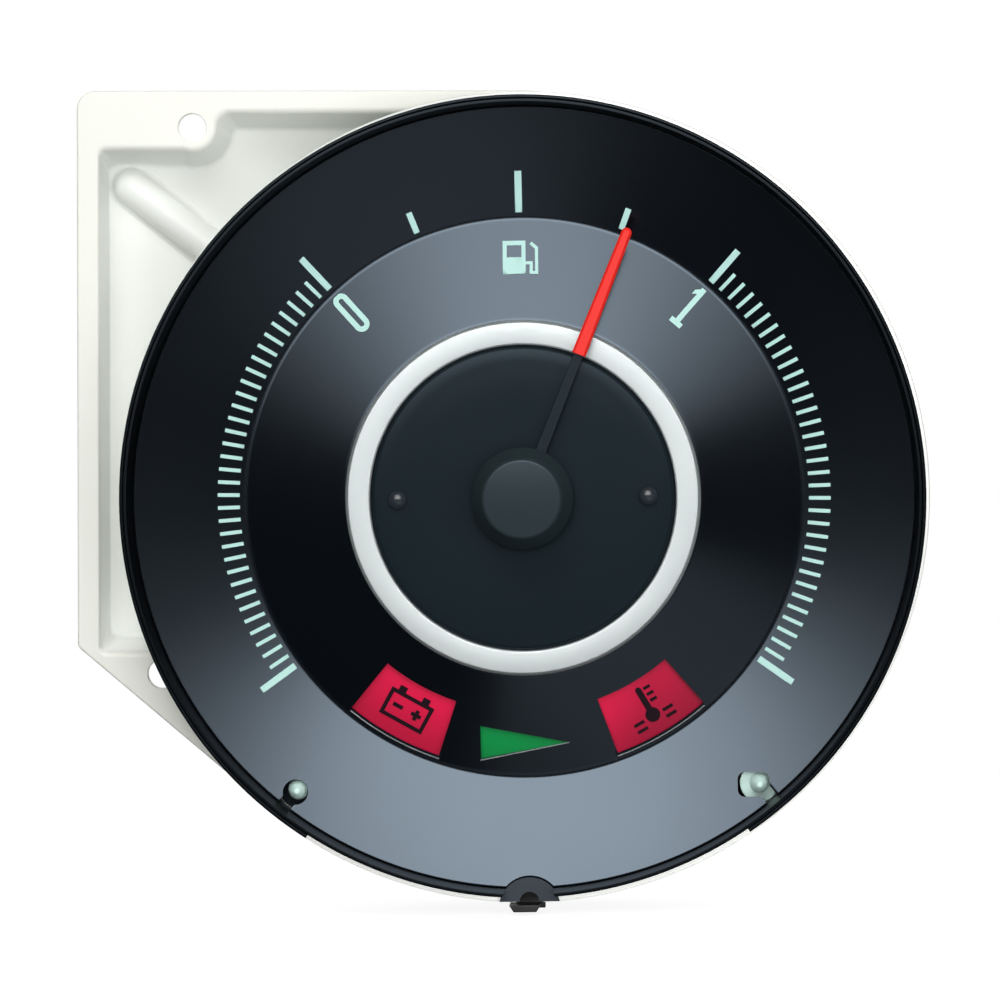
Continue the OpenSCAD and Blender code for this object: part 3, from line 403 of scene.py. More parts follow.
class Nodes:
    """A short way to write a node material."""

    def __init__(self, name="Finish"):
        self.material = bpy.data.materials.new(name)
        self.material.use_nodes = True
        self.tree = self.material.node_tree
        self.shader = self.tree.nodes["Principled BSDF"]
        self.place = self.add("ShaderNodeTexCoord").outputs["Object"]
        split = self.add("ShaderNodeSeparateXYZ", {"Vector": self.place})
        self.x, self.y, self.z = split.outputs

    def add(self, kind, inputs=(), **settings):
        node = self.tree.nodes.new(kind)
        for key, value in settings.items():
            setattr(node, key, value)
        for key, value in dict(inputs).items():
            self.feed(node.inputs[key], value)
        return node

    def feed(self, socket, value):
        if isinstance(value, bpy.types.NodeSocket):
            self.tree.links.new(value, socket)
        else:
            socket.default_value = value

    def set(self, **values):
        for key, value in values.items():
            self.feed(self.shader.inputs[key.replace("_", " ")], value)

    def calc(self, operation, *values):
        """The result of a sum on one or two values."""
        return self.add("ShaderNodeMath", dict(enumerate(values)), operation=operation).outputs[0]

    def far(self, first, second):
        """How far two distances at right angles reach together."""
        flat = self.add("ShaderNodeCombineXYZ", {"X": first, "Y": second})
        return self.add("ShaderNodeVectorMath", {0: flat.outputs[0]}, operation="LENGTH").outputs["Value"]

    def from_axis(self):
        """Distance from the dial's axis."""
        return self.far(self.x, self.z)

    def noise(self, scale, detail=3.0, vector=None):
        node = self.add("ShaderNodeTexNoise", {"Vector": vector or self.place, "Scale": scale, "Detail": detail})
        return node.outputs["Fac"]

    def spread(self, value, low, high, from_low=0.0, from_high=1.0, **settings):
        node = self.add("ShaderNodeMapRange", {"Value": value, "From Min": from_low, "From Max": from_high,
                                               "To Min": low, "To Max": high}, **settings)
        return node.outputs["Result"]

    def blend(self, factor, first, second, mode="MIX"):
        node = self.add("ShaderNodeMix", {"Factor": factor, 6: first, 7: second}, data_type="RGBA", blend_type=mode)
        return node.outputs[2]

    def bump(self, height, strength, distance):
        """Adds the bump, and gives the finished material."""
        node = self.add("ShaderNodeBump", {"Height": height, "Strength": strength, "Distance": distance})
        self.feed(self.shader.inputs["Normal"], node.outputs["Normal"])
        return self.material


def rgb(colour, gain=1.0):
    """A colour with its alpha, made lighter or darker."""
    return tuple(min(1.0, c * gain) for c in colour[:3]) + (1.0,)


def moulded(colour, roughness, grain=900.0, depth=0.00002, mottle=0.06, specular=1.0, tint=(1, 1, 1), ior=1.5):
    """Moulded plastic or sprayed paint: fine grain, a slow change of tone and of gloss."""
    n = Nodes()
    slow = n.noise(35.0)
    n.set(Base_Color=n.blend(slow, rgb(colour, 1 - mottle), rgb(colour, 1 + mottle)),
          Roughness=n.spread(slow, roughness * 0.88, roughness * 1.12),
          Specular_IOR_Level=specular, Specular_Tint=rgb(tint), IOR=ior)
    return n.bump(n.noise(grain, 4.0), 0.35, depth)


def metal(colour, roughness, grain=1500.0, depth=0.00001, brushed=False, streak=0.25, bare=1.0):
    """Bare or plated metal: brushed round the dial axis, or with fine random grain."""
    n = Nodes()
    if brushed:
        wide = n.calc("MULTIPLY", n.calc("ARCTAN2", n.x, n.z), 0.004)
        along = n.add("ShaderNodeCombineXYZ", {"X": n.from_axis(), "Y": wide})
        fine = n.noise(grain, vector=along.outputs[0])
    else:
        fine = n.noise(grain)
    n.set(Base_Color=n.blend(n.noise(60.0), rgb(colour, 0.93), rgb(colour, 1.05)), Metallic=bare,
          Roughness=n.spread(fine, roughness * (1 - streak), roughness * (1 + streak), 0.3, 0.7))
    return n.bump(fine, 0.3, depth)


# SETTINGS

def length(name, text, value, low, high):
    return FloatProperty(name=name, description=text, default=value * MM, min=low * MM, max=high * MM,
                         subtype="DISTANCE", unit="LENGTH")


def colour(name, text, value):
    return FloatVectorProperty(name=name, description=text, default=value, min=0.0, max=1.0, size=3,
                               subtype="COLOR")


def brightness(name, text, value):
    return FloatProperty(name=name, description="Brightness of " + text, default=value, min=0.0)


class GaugeSizes(bpy.types.PropertyGroup):
    """Rounds and small widths that the frame leaves open."""
    edge_round: length("Edge round", "Radius of the case's moulded edges", 0.35, 0.05, 0.8)
    pocket_round: length("Pocket round", "Radius of the edge round the corner pocket", 1.2, 0.3, 2.0)
    pocket_fillet: length("Pocket fillet", "Radius where the pocket's walls meet its floor", 0.9, 0.3, 2.0)
    hub_round: length("Hub round", "Radius of the hub's top edge", 0.4, 0.2, 1.5)
    valley_round: length("Valley round", "Length over which the dial's valley is rounded", 0.5, 0.2, 3.0)


class GaugeColours(bpy.types.PropertyGroup):
    """Colours of the finishes."""
    case: colour("Case", "White case plastic", (0.85, 0.875, 0.84))
    bezel: colour("Bezel", "Black of the bowl's wall and rim", (0.0012, 0.0015, 0.0018))
    dial: colour("Dial", "Paint of the dial plate", (0.0010, 0.0016, 0.0026))
    disc: colour("Disc", "Paint of the centre disc", (0.0068, 0.0120, 0.0148))
    marks: colour("Marks", "Ink of the scale", (0.43, 0.68, 0.635))
    pointer: colour("Pointer", "Red of the pointer", (0.78, 0.022, 0.016))
    warning: colour("Warning", "Red of the warning windows", (0.62, 0.003, 0.05))
    signal: colour("Signal", "Green of the arrow", (0.0, 0.27, 0.06))
    pins: colour("Pins", "Plastic of the locating pins", (0.60, 0.82, 0.76))


class GaugeLight(bpy.types.PropertyGroup):
    """The studio light."""
    key: brightness("Key light", "the soft light above", 4.5)
    fill: brightness("Front fill", "the light from the front", 0.6)
    over: brightness("Overhead", "the light overhead", 2.0)
    side: brightness("Side fill", "the light from the right", 1.0)
    card: brightness("Low card", "the weak card below", 0.085)
    rear: brightness("Rear light", "the soft lights behind", 0.7)
    surround: brightness("Surround", "the space all round", 0.02)


def sizes():
    return bpy.context.scene.gauge_sizes


def at_lamps(make):
    """A mesh from make() at each lamp."""
    return [moved(make(), (0, out, 0), turn) for turn, out in LAMPS]


def at_studs(make):
    """A mesh from make() at each stud."""
    return [moved(make(), (0, STUD_OUT, 0), turn) for turn in STUD_TURNS]


# OPERATORS

class GaugeOperator(bpy.types.Operator):
    """Common to the gauge's operators."""
    bl_options = {"REGISTER", "UNDO"}

    def execute(self, context):
        self.make()
        return {"FINISHED"}


class GAUGE_OT_stage(GaugeOperator):
    """Adds the pale floor and backdrop, the soft light and the camera."""
    bl_idname = "gauge.stage"
    bl_label = "Stage, Light and Camera"

    def make(self):
        scene = bpy.context.scene
        light = scene.gauge_light
        scene.view_settings.view_transform = "Standard"
        scene.view_settings.look = "None"
        world = bpy.data.worlds.new("Studio")
        world.use_nodes = True
        back = world.node_tree.nodes["Background"]
        back.inputs["Color"].default_value = (0.9, 0.97, 1.0, 1.0)
        back.inputs["Strength"].default_value = light.surround
        scene.world = world
        self.softbox(light.key)
        for name, place, size, setting, share, glossy in STUDIO_LAMPS:
            lamp = bpy.data.lights.new(name, "AREA")
            lamp.shape, lamp.size, lamp.size_y = "RECTANGLE", *size
            lamp.energy = share * getattr(light, setting) * math.pi * math.pi * size[0] * size[1]
            obj = bpy.data.objects.new(name, lamp)
            scene.collection.objects.link(obj)
            self.aimed(obj, place).visible_glossy = glossy
        self.backdrop()
        self.camera(scene)

    def aimed(self, obj, place):
        obj.location = place
        obj.rotation_mode = "QUATERNION"
        obj.rotation_quaternion = (-Vector(place)).to_track_quat("-Z", "Y")
        obj.visible_camera = False
        return obj

    def shown(self, name, bm, material):
        obj = in_scene(name, bm)
        obj.data.materials.append(material)
        return obj

    def softbox(self, strength):
        """A soft light above the camera, that fades out towards its sides and its lower edge."""
        wide, tall, fade, core = SOFTBOX_SIZE
        n = Nodes("Softbox")
        ramp = n.spread(n.y, 0.0, 1.0, -tall, -tall + fade, interpolation_type="SMOOTHSTEP")
        fall = n.spread(n.y, 1.0, 0.6, -0.16, 0.06)
        edge = n.spread(n.calc("ABSOLUTE", n.x), 0.0, 1.0, wide, core, interpolation_type="SMOOTHSTEP")
        tone = n.calc("MULTIPLY", n.calc("MULTIPLY", ramp, fall), edge)
        n.set(Base_Color=(0, 0, 0, 1), Specular_IOR_Level=0.0, Emission_Color=(1.0, 0.99, 0.97, 1.0),
              Emission_Strength=n.spread(tone, 0.0, strength))
        bm = bmesh.new()
        bmesh.ops.create_grid(bm, x_segments=1, y_segments=1, size=1.0)
        bmesh.ops.scale(bm, vec=(wide, tall, 1), verts=bm.verts)
        side, away, rise, roll = SOFTBOX_PLACE
        rise = math.radians(rise)
        panel = self.aimed(self.shown("Softbox", bm, n.material), (side, -away * math.cos(rise), away * math.sin(rise)))
        panel.rotation_quaternion = panel.rotation_quaternion @ Quaternion((0, 0, 1), math.radians(roll))

    def backdrop(self):
        """A white floor, soft grey under the gauge, in a white dome. Only the camera sees them."""
        n = Nodes("Pale backdrop")
        tone = n.blend(n.noise(180.0, 2.0), (0.26, 0.26, 0.26, 1), (0.28, 0.28, 0.28, 1))
        fade = n.spread(n.far(n.x, n.y), 0.0, 1.0, 0.10, 0.30)
        n.set(Base_Color=n.blend(fade, tone, (0, 0, 0, 1)), Roughness=0.9, Specular_IOR_Level=0.0,
              Emission_Color=(1.0, 1.0, 1.0, 1.0), Emission_Strength=n.spread(fade, 0.88, 1.0))
        bm = bmesh.new()
        bmesh.ops.create_circle(bm, cap_ends=True, radius=FLOOR_R, segments=96)
        bmesh.ops.translate(bm, vec=(0, 0, CAD_BOX[0][2] - FLOOR_GAP), verts=bm.verts)
        floor = self.shown("Floor", bm, n.material)
        n = Nodes("Backdrop dome")
        n.set(Base_Color=(0, 0, 0, 1), Specular_IOR_Level=0.0, Emission_Color=(1.0, 1.0, 1.0, 1.0),
              Emission_Strength=n.spread(n.noise(2.0), 1.0, 1.01))
        bm = bmesh.new()
        bmesh.ops.create_icosphere(bm, subdivisions=4, radius=DOME_R)
        bmesh.ops.reverse_faces(bm, faces=bm.faces)
        for part in (floor, self.shown("Dome", bm, n.material)):
            part.visible_glossy = part.visible_diffuse = part.visible_shadow = part.visible_transmission = False

    def camera(self, scene):
        azimuth, elevation, roll = (math.radians(a) for a in CAMERA_TURNS)
        back = Vector((math.sin(azimuth) * math.cos(elevation), -math.cos(azimuth) * math.cos(elevation),
                       math.sin(elevation)))
        cam = bpy.data.cameras.new("Camera")
        cam.sensor_width, cam.lens = 36.0, CAMERA_LENS
        cam.shift_x, cam.shift_y = CAMERA_SHIFT
        cam.clip_start, cam.clip_end = 0.05, 20.0
        obj = bpy.data.objects.new("Camera", cam)
        obj.location = Vector((0, -LIP_Z * MM, 0)) + back * CAMERA_AWAY
        obj.rotation_mode = "QUATERNION"
        turn = (-back).to_track_quat("-Z", "Y").to_matrix() @ Matrix.Rotation(-roll, 3, "Z")
        obj.rotation_quaternion = turn.to_quaternion()
        scene.collection.objects.link(obj)
        scene.camera = obj


class GAUGE_OT_finishes(GaugeOperator):
    """Gives every carried-over node its finish."""
    bl_idname = "gauge.finishes"
    bl_label = "Finishes of the Frame"

    def make(self):
        c = bpy.context.scene.gauge_colours
        cool = (0.66, 0.82, 1.0)
        looks = {
            "case_white": self.case(c.case),
            "bezel_black": self.bezel(c.bezel, cool),
            "dial_paint": moulded(c.dial, 0.18, 2200.0, 0.000004, 0.05, 0.64, cool, 1.8),
            "mark_ink": moulded(c.marks, 0.5, 3000.0, 0.000004, 0.05, 0.25),
            "bright_trim": metal((0.88, 0.95, 0.98), 0.46, 2600.0, 0.000004, True, 0.15, 0.84),
            "disc_black": moulded(c.disc, 0.25, 2500.0, 0.000005, specular=0.25, tint=cool),
            "rivet_steel": moulded((0.018, 0.024, 0.030), 0.2, 1500.0, 0.000008),
            "hub_black": moulded((0.0185, 0.0275, 0.0305), 0.24, 1600.0, 0.00001, specular=0.5, tint=cool),
            "arm_black": moulded((0.006, 0.010, 0.013), 0.3, 2000.0, 0.000006, specular=0.4, tint=cool),
            "pointer_red": moulded(c.pointer, 0.35, 1500.0, 0.000006, specular=0.3),
            "warning_red": self.lens(c.warning),
            "signal_green": self.lens(c.signal),
            "symbol_ink": moulded((0.012, 0.004, 0.008), 0.5, 3000.0, 0.000004, specular=0.2),
            "pin_plastic": moulded(c.pins, 0.35, 900.0, 0.00001),
            "clip_black": moulded((0.015, 0.015, 0.017), 0.4),
            "steel": metal((0.56, 0.57, 0.58), 0.3),
            "soft_iron": metal((0.42, 0.42, 0.43), 0.42),
            "brass": metal((0.78, 0.58, 0.27), 0.3),
            "plate_steel": metal((0.62, 0.63, 0.65), 0.38, 600.0),
            "copper_wire": metal((0.62, 0.26, 0.11), 0.3, 4000.0),
            "former_nylon": moulded((0.62, 0.56, 0.42), 0.45),
            "fibre_red": moulded((0.20, 0.045, 0.02), 0.7, 1500.0, 0.00003, 0.15),
            "nut_zinc": metal((0.72, 0.73, 0.72), 0.42, 900.0),
            "resistor_ceramic": moulded((0.60, 0.56, 0.46), 0.75, 900.0, 0.00004, 0.1),
            "circuit_copper": self.circuit(),
            "holder_blue": moulded((0.02, 0.07, 0.22), 0.4),
            "lamp_glass": self.glass(),
        }
        for slot, material in looks.items():
            material.name = slot.replace("_", " ").capitalize()
        for part in frame["record"]["subparts"]:
            materials = frame["nodes"][part["node"]].data.materials
            materials.clear()
            materials.append(looks[part["material_slot"]])

    def case(self, colour):
        """White plastic with painted light and shade: the rim's front painted lighter than the flange, the pocket's
        walls and floor painted lighter low down and darker high up, and a painted glow on the thin rim's front on the
        right and at the bottom.
        """
        n = Nodes()
        slow = n.noise(35.0)
        # Painted light: the parts 4 mm or more in front of the flange face, the rim's front among them, are painted
        # lighter than the flange.
        face = n.spread(n.y, 1.0, 0.0, -0.0040, -0.0005)
        # Painted shade: the pocket's walls and floor are painted lighter low down and darker high up.
        wall = n.spread(n.y, 0.0, 1.0, 0.0002, 0.0016)
        floor = n.spread(n.y, 0.0, 1.0, 0.0070, 0.0079)
        high = n.spread(n.z, 0.0, 1.0, -0.02, 0.06)
        warm = (colour[0], colour[1] * 0.985, colour[2] * 0.955)
        tone = n.blend(face, rgb(warm, 0.93), rgb(colour, 1.1))
        tone = n.blend(wall, tone, n.blend(high, rgb(colour, 1.16), rgb(colour, 0.9)))
        tone = n.blend(floor, tone, n.blend(high, rgb(colour, 1.07), rgb(colour, 0.9)))
        # Painted glow: the thin rim's outer front, on the right and at the bottom, glows though it is no lamp.
        rim = n.calc("MULTIPLY", face, n.spread(n.from_axis(), 0.0, 0.34, 0.0692, 0.0696))
        beside = n.calc("MAXIMUM", n.spread(n.x, 0.0, 1.0, -0.005, 0.005), n.spread(n.z, 1.0, 0.0, -0.056, -0.050))
        n.set(Base_Color=n.blend(0.06, tone, n.blend(slow, (0.3, 0.3, 0.28, 1), (1, 1, 1, 1)), "MULTIPLY"),
              Roughness=n.spread(slow, 0.30, 0.36), Emission_Color=(1.0, 1.0, 0.97, 1.0),
              Emission_Strength=n.calc("MULTIPLY", rim, beside))
        return n.bump(n.noise(500.0, 4.0), 0.3, 0.00002)

    def lens(self, colour):
        """Coloured plastic with painted light: painted brighter near the dial's axis, with painted shade on the right.
        """
        n = Nodes()
        slow = n.noise(160.0, 4.0)
        # Painted light: the lens is painted brighter near the dial's axis and darker further out.
        out = n.spread(n.from_axis(), 0.0, 1.0, 0.0375, 0.0475)
        # Painted shade: the right-hand lens is painted darker.
        right = n.spread(n.x, 0.0, 0.36, 0.012, 0.022)
        tone = n.blend(right, n.blend(out, rgb(colour, 1.28), rgb(colour, 0.66)), (0.0, 0.0, 0.01, 1))
        n.set(Base_Color=n.blend(n.spread(slow, 0.0, 0.3), tone, rgb(colour, 0.8)),
              Roughness=n.spread(slow, 0.27, 0.33), Specular_IOR_Level=0.25, IOR=1.5)
        return n.bump(n.noise(700.0, 4.0), 0.35, 0.00001)

    def bezel(self, colour, tint):
        """Black plastic, with the screw pad's face painted grey as a painted reflection of the light."""
        n = Nodes()
        slow = n.noise(35.0)
        # Painted reflection: the screw pad's face is painted grey.
        pad = n.spread(n.z, 0.0, 1.0, -0.0655, -0.0663)
        for part in (n.spread(n.y, 0.0, 1.0, -0.0075, -0.0080), n.spread(n.y, 1.0, 0.0, -0.0088, -0.0090),
                     n.spread(n.calc("ABSOLUTE", n.x), 1.0, 0.0, 0.0054, 0.0058)):
            pad = n.calc("MULTIPLY", pad, part)
        black = n.blend(slow, rgb(colour, 0.94), rgb(colour, 1.06))
        n.set(Base_Color=n.blend(pad, black, (0.042, 0.050, 0.058, 1)), Roughness=n.spread(slow, 0.25, 0.31),
              Specular_IOR_Level=0.36, Specular_Tint=rgb(tint), IOR=1.5)
        return n.bump(n.noise(1200.0, 4.0), 0.35, 0.00001)

    def circuit(self):
        """Amber film, and bare copper where the tracks stand above it."""
        n = Nodes()
        edge = -CIRCUIT_BACK * MM
        track = n.spread(n.y, 0.0, 1.0, edge + 0.000015, edge + 0.000025)
        slow = n.noise(60.0)
        film = n.blend(slow, (0.30, 0.105, 0.02, 1), (0.38, 0.14, 0.03, 1))
        bare = n.blend(slow, (0.62, 0.27, 0.12, 1), (0.72, 0.34, 0.17, 1))
        n.set(Base_Color=n.blend(track, film, bare), Metallic=n.spread(track, 0.0, 0.35),
              Roughness=n.spread(slow, 0.28, 0.36))
        return n.bump(n.noise(900.0, 4.0), 0.3, 0.00001)

    def glass(self):
        n = Nodes()
        wave = n.noise(120.0, 2.0)
        n.set(Base_Color=n.blend(wave, (0.92, 0.93, 0.93, 1), (0.98, 0.98, 0.97, 1)), IOR=1.5,
              Transmission_Weight=1.0, Roughness=n.spread(wave, 0.02, 0.06))
        return n.bump(wave, 0.1, 0.00002)


class GAUGE_OT_case(GaugeOperator):
    """Builds the white case: the cup, and the flange with its corner pocket."""
    bl_idname = "gauge.case"
    bl_label = "Case"

    def make(self):
        placed(merged("case_shell", self.cup(), self.inner_parts(), self.corner(), self.duct()), "case",
               "case_pan", "case_flange")

    def cup(self):
        edge = sizes().edge_round / MM
        cup = as_object("cup", spun(
            [(0, CUP_BACK), (NECK_R, CUP_BACK), (NECK_R, SHOULDER_BACK), (RIM_EDGE_R, SHOULDER_BACK),
             (RIM_EDGE_R, RIM_FRONT), (RIM_IN, RIM_FRONT), (RIM_IN, SHOULDER_Z), (NECK_IN, SHOULDER_Z),
             (NECK_IN, CUP_FLOOR), (0, CUP_FLOOR)], [(1.2, (1, 8)), (edge, (3, 4, 5))]))
        cut(cup, *at_lamps(lambda: disc_bar(LAMP_HOLE_R, -28, -23)),
            *at_lamps(lambda: block((2 * LAMP_HOLE_R + 3.2, 4.8, 5), (0, 0, -25.5))),
            *at_studs(lambda: disc_bar(3.2, -28, -23)), block((5.4, 7.0, 1.4), (0, -RIM_R + 2.5, 2.1)),
            moved(disc_bar(NOTCH_R + 0.7, 1.9, 20), (0, -PAD_LOW, 0)))
        inner, low, high = NECK_R - 0.8, -FLANGE_T + 0.02, -0.02
        ring = as_object("flange_ring", spun([(inner, low), (RIM_R, low), (RIM_R, high), (inner, high)],
                                             [(edge, (1, 2))], turn=216, start=5, steps=180))
        return merged("cup_and_ring", soften(whole_flats(cup), 0.2, 50), flat_normals(ring))

    def inner_parts(self):
        """The posts for the pins, the walls round the warning lamps and the ribs under the floor's edge."""
        low = CUP_FLOOR - 0.2
        parts = []
        for side in (-1, 1):
            bm = spun([(0, low), (3.2, low), (3.2, SHOULDER_Z), (1.65, SHOULDER_Z), (1.65, -6.5), (0, -6.5)], steps=48)
            parts.append(moved(bm, (0, PIN_OUT, 0), side * PIN_TURN))
        for r in (WINDOW_IN - 3.0, WINDOW_OUT + 1.8):
            top = cone_z(r + 1.2) - 2.0
            parts.append(spun([(r, low), (r + 1.2, low), (r + 1.2, top), (r, top)], turn=88, start=136, steps=60))
        for turn in (-163, -137.2, 137.2, 163):
            tall = cone_z(WINDOW_OUT + 3.0) - 2.1 - low
            parts.append(moved(block((1.2, 14.2, tall), (0, 42.7, low + tall / 2)), turn=turn))
        for turn in (-100, -30, 0, 30, 100):
            parts.append(moved(block((1.4, 11.2, 3.2), (0, NECK_R - 6.8, CUP_BACK + 1.9)), turn=turn))
        return crisp(as_object("inner_parts", joined(*parts)), 40)

    def outline_row(self, inset):
        """The flange's outer edge, from its top end round to its low end."""
        x, y = LOW_END[0] - FLANGE_LEFT, LOW_END[1] - CORNER_LOW
        along = math.hypot(x, y)
        inward = (-y / along, x / along)
        low_r = 1.5
        centre = (FLANGE_LEFT + low_r, CORNER_LOW + low_r * (1 - inward[0]) / inward[1])
        lean = math.degrees(math.atan2(inward[1], inward[0]))
        return ([(TOP_END[0], TOP_END[1] - inset), (0, FLANGE_TOP - inset)]
                + arc((FLANGE_LEFT + CORNER_R, FLANGE_TOP - CORNER_R), CORNER_R - inset, 90, 180, 16)
                + arc(centre, low_r - inset, 180, 180 + lean, 8)
                + [(LOW_END[0] + inward[0] * inset, LOW_END[1] + inward[1] * inset)])

    def pocket_row(self, inset):
        """One level of the pocket's wall, from the cup below, round the corner and the screw boss, to the cup above."""
        left, low = POCKET_LEFT + inset * 0.35, POCKET_LOW + inset
        mid, high = POCKET_MID - inset, POCKET_HIGH - inset
        turn = 1.4 + 0.2 * max(inset, 0.0)
        boss, fillet = BOSS_R + inset, max(0.9, 2.5 - 0.5 * inset)
        meet = 180 - math.degrees(math.asin((mid - UPPER_HOLE[1]) / boss))
        rise = high - fillet - UPPER_HOLE[1]
        reach = math.sqrt((boss + fillet) ** 2 - rise ** 2)
        lean = math.degrees(math.atan2(rise, reach))
        centre = (UPPER_HOLE[0] + reach, high - fillet)
        first = (-math.sqrt(IN_WALL_R ** 2 - low ** 2), low)
        last = (-math.sqrt(max(IN_WALL_R ** 2 - high ** 2, 144.0)), high)
        low_bend = arc((left + turn, low + turn), turn, 270, 180, 8)
        top_bend = arc((left + turn, mid - turn), turn, 180, 90, 8)
        round_boss = arc(UPPER_HOLE, boss, meet, 360 + lean, 20)
        off_boss = arc(centre, fillet, 180 + lean, 90, 12)[1:]
        return ([first] + stretch(first, low_bend[0], 6) + low_bend + stretch(low_bend[-1], top_bend[0], 16)
                + top_bend + stretch(top_bend[-1], round_boss[0], 4) + round_boss + off_boss
                + stretch(off_boss[-1], last, 8) + [last])

    def in_wall(self, first, last, parts=24):
        """Points inside the cup's wall between the directions of two places."""
        ends = [math.degrees(math.atan2(y, x)) % 360 for x, y in (first, last)]
        return arc((0, 0), IN_WALL_R, *ends, parts)

    def face(self, bm, z, outline, pocket, holes):
        """A flat side of the flange between its outline, its pocket and its screw holes."""
        (outer, outer_points), (inner, inner_points) = outline, pocket
        below = link(bm, self.in_wall(outer_points[-1], inner_points[0]), z, outer[-1].verts[1], inner[0].verts[0])
        above = link(bm, self.in_wall((inner_points[-1][0], 66.5), outer_points[0]), z, inner[-1].verts[1],
                     outer[0].verts[0])
        filled(bm, outer + inner + below + above + holes)

    def corner(self):
        s = sizes()
        edge, top_round, fillet = s.edge_round / MM, s.pocket_round / MM, s.pocket_fillet / MM
        draft = math.radians(POCKET_DRAFT)
        rim = [(edge + 0.25, 0.0)] + [(edge * (1 - math.sin(a)), edge * (math.cos(a) - 1))
                                      for a in map(math.radians, (0, 30, 60, 90))]
        levels = rim + [(inset, -FLANGE_T - z) for inset, z in reversed(rim)]
        bm = bmesh.new()
        outlines = wall(bm, self.outline_row, levels)
        tips = {vert for edges, points in outlines for vert in (edges[0].verts[0], edges[-1].verts[1])}
        holes = [wall(bm, lambda inset: arc(centre, HOLE_R + inset * 0.35, 0, 352.5, 47), levels, True)
                 for centre in (UPPER_HOLE, polar(LOWER_HOLE_TURN, LOWER_HOLE_OUT))]
        lean = math.pi / 2 - draft
        front = [(top_round * (math.sin(a * lean / 8) - 1), top_round * (math.cos(a * lean / 8) - 1)) for a in range(9)]
        foot_z = POCKET_Z + fillet * (1 - math.sin(draft))
        foot = front[-1][0] + (front[-1][1] - foot_z) * math.tan(draft)
        centre = foot + fillet * math.cos(draft)
        angles = [draft + (math.pi / 2 - draft) * i / 6 for i in range(7)]
        front += [(centre - fillet * math.cos(a), POCKET_Z + fillet * (1 - math.sin(a))) for a in angles]
        front = [(front[0][0] - 0.08, 0.0)] + front + [(front[-1][0] + 0.3, POCKET_Z)]
        back = [(-0.9, -FLANGE_T), (-0.68, -FLANGE_T), (0.95, -7.85), (1.12, -8.4), (1.32, -8.88), (1.65, -9.22),
                (2.15, POCKET_BACK), (2.4, POCKET_BACK)]
        open_edges = []
        for side, inside in ((0, front), (-1, back)):
            rows = wall(bm, self.pocket_row, inside)
            self.face(bm, levels[side][1], outlines[side], rows[0], [e for hole in holes for e in hole[side][0]])
            bottom, points = rows[-1]
            round_cup = self.in_wall(points[-1], points[0], 48)[1:-1]
            filled(bm, bottom + link(bm, round_cup, inside[-1][1], bottom[-1].verts[1], bottom[0].verts[0]))
            open_edges.append({e for e in bm.edges if e.is_boundary}.difference(*open_edges))
        first, second = open_edges
        bmesh.ops.bridge_loops(bm, edges=[e for e in bm.edges if (e in first or e in second) and e.is_boundary
                                          and not tips.issuperset(e.verts)])
        bmesh.ops.holes_fill(bm, edges=[e for e in bm.edges if e.is_boundary], sides=0)
        outward(bm)
        if any(not edge.is_manifold for edge in bm.edges):
            raise RuntimeError("the case's corner isn't closed")
        return flat_normals(as_object("corner", moved(bm, turn=FLANGE_TURN)))

    def duct(self):
        """The half-round duct on the pocket's floor, with a rounded nose and a small fillet at its foot."""
        dome = [(DUCT_R * math.cos(math.radians(a)), DUCT_R * math.sin(math.radians(a))) for a in range(18, 90, 8)]
        profile = [(0, -0.7), (DUCT_R + 0.75, -0.7), (DUCT_R + 0.75, 0.0), (DUCT_R + 0.3, 0.12), (DUCT_R + 0.02, 0.45)]
        bm = spun(profile + dome + [(0, DUCT_R)], turn=180, start=-DUCT_TURN - 180, steps=32)
        angle = math.radians(DUCT_TURN)
        ahead = Vector((math.cos(angle), math.sin(angle), 0))
        caps = [f for f in bm.faces if f.normal.dot(ahead) > 0.99]
        pushed(bm, caps, ahead * DUCT_LEN)
        bmesh.ops.delete(bm, geom=[f for f in caps if f.is_valid], context="FACES_ONLY")
        return crisp(as_object("duct", moved(outward(bm), (*DUCT_START, POCKET_Z), FLANGE_TURN)), 50)


class GAUGE_OT_bowl(GaugeOperator):
    """Builds the black bowl wall with its lip and screw pad, and the band outside it."""
    bl_idname = "gauge.bowl"
    bl_label = "Bowl and Band"

    def make(self):
        ring = as_object("bezel_ring", spun(
            [(DIAL_FLAT_R, SEAT_Z), (BOWL_R, SEAT_Z), (BOWL_R, LIP_Z), (BOWL_R - 0.62, LIP_Z),
             (BOWL_IN, DIAL_RIM_Z), (BOWL_IN, 5.15), (DIAL_FLAT_R, 5.15)], [(0.12, (2, 3))]))
        collar = spun([(1.85, 3.1), (3.3, 3.1), (3.3, 3.5), (1.85, 3.5)], steps=48)
        collar = as_object("collar", moved(collar, (0, PIN_OUT, 0), -PIN_TURN))
        cut(ring, *[moved(disc_bar(3.5, 2.0, 6.0), (0, PIN_OUT, 0), side * PIN_TURN) for side in (-1, 1)],
            moved(disc_bar(NOTCH_R, 0, 20), (0, -PAD_LOW, 0)),
            moved(disc_bar(PAD_R - 0.03, PAD_Z - 0.03, 20), (0, -PAD_MID, 0)))
        bezel = merged("bezel_wall", soften(ring, 0.08, 50), soften(self.pad(), 0.14), crisp(collar))
        placed(bezel, "case", "dial_bowl")

    def pad(self):
        """The half-round pad with its notch, and the notch's wall."""
        half = math.degrees(math.asin((PAD_MID - PAD_LOW) / PAD_R))
        notch = arc((0, -PAD_LOW), NOTCH_R, 180, 0, 24)
        pad = as_object("pad", slab(arc((0, -PAD_MID), PAD_R, half, 180 - half, 40) + notch, SEAT_Z, PAD_Z))
        inner, top = BOWL_R + 0.05, RIM_FRONT + 0.05
        cut(pad, spun([(inner, 0), (80, 0), (80, top), (inner, top)], turn=30, start=165, steps=24))
        around = slab(arc((0, -PAD_LOW), NOTCH_R + 0.6, 0, 180, 28) + notch, SEAT_Z, PAD_Z - 0.02)
        return merged("screw_pad", pad, as_object("notch_wall", around))


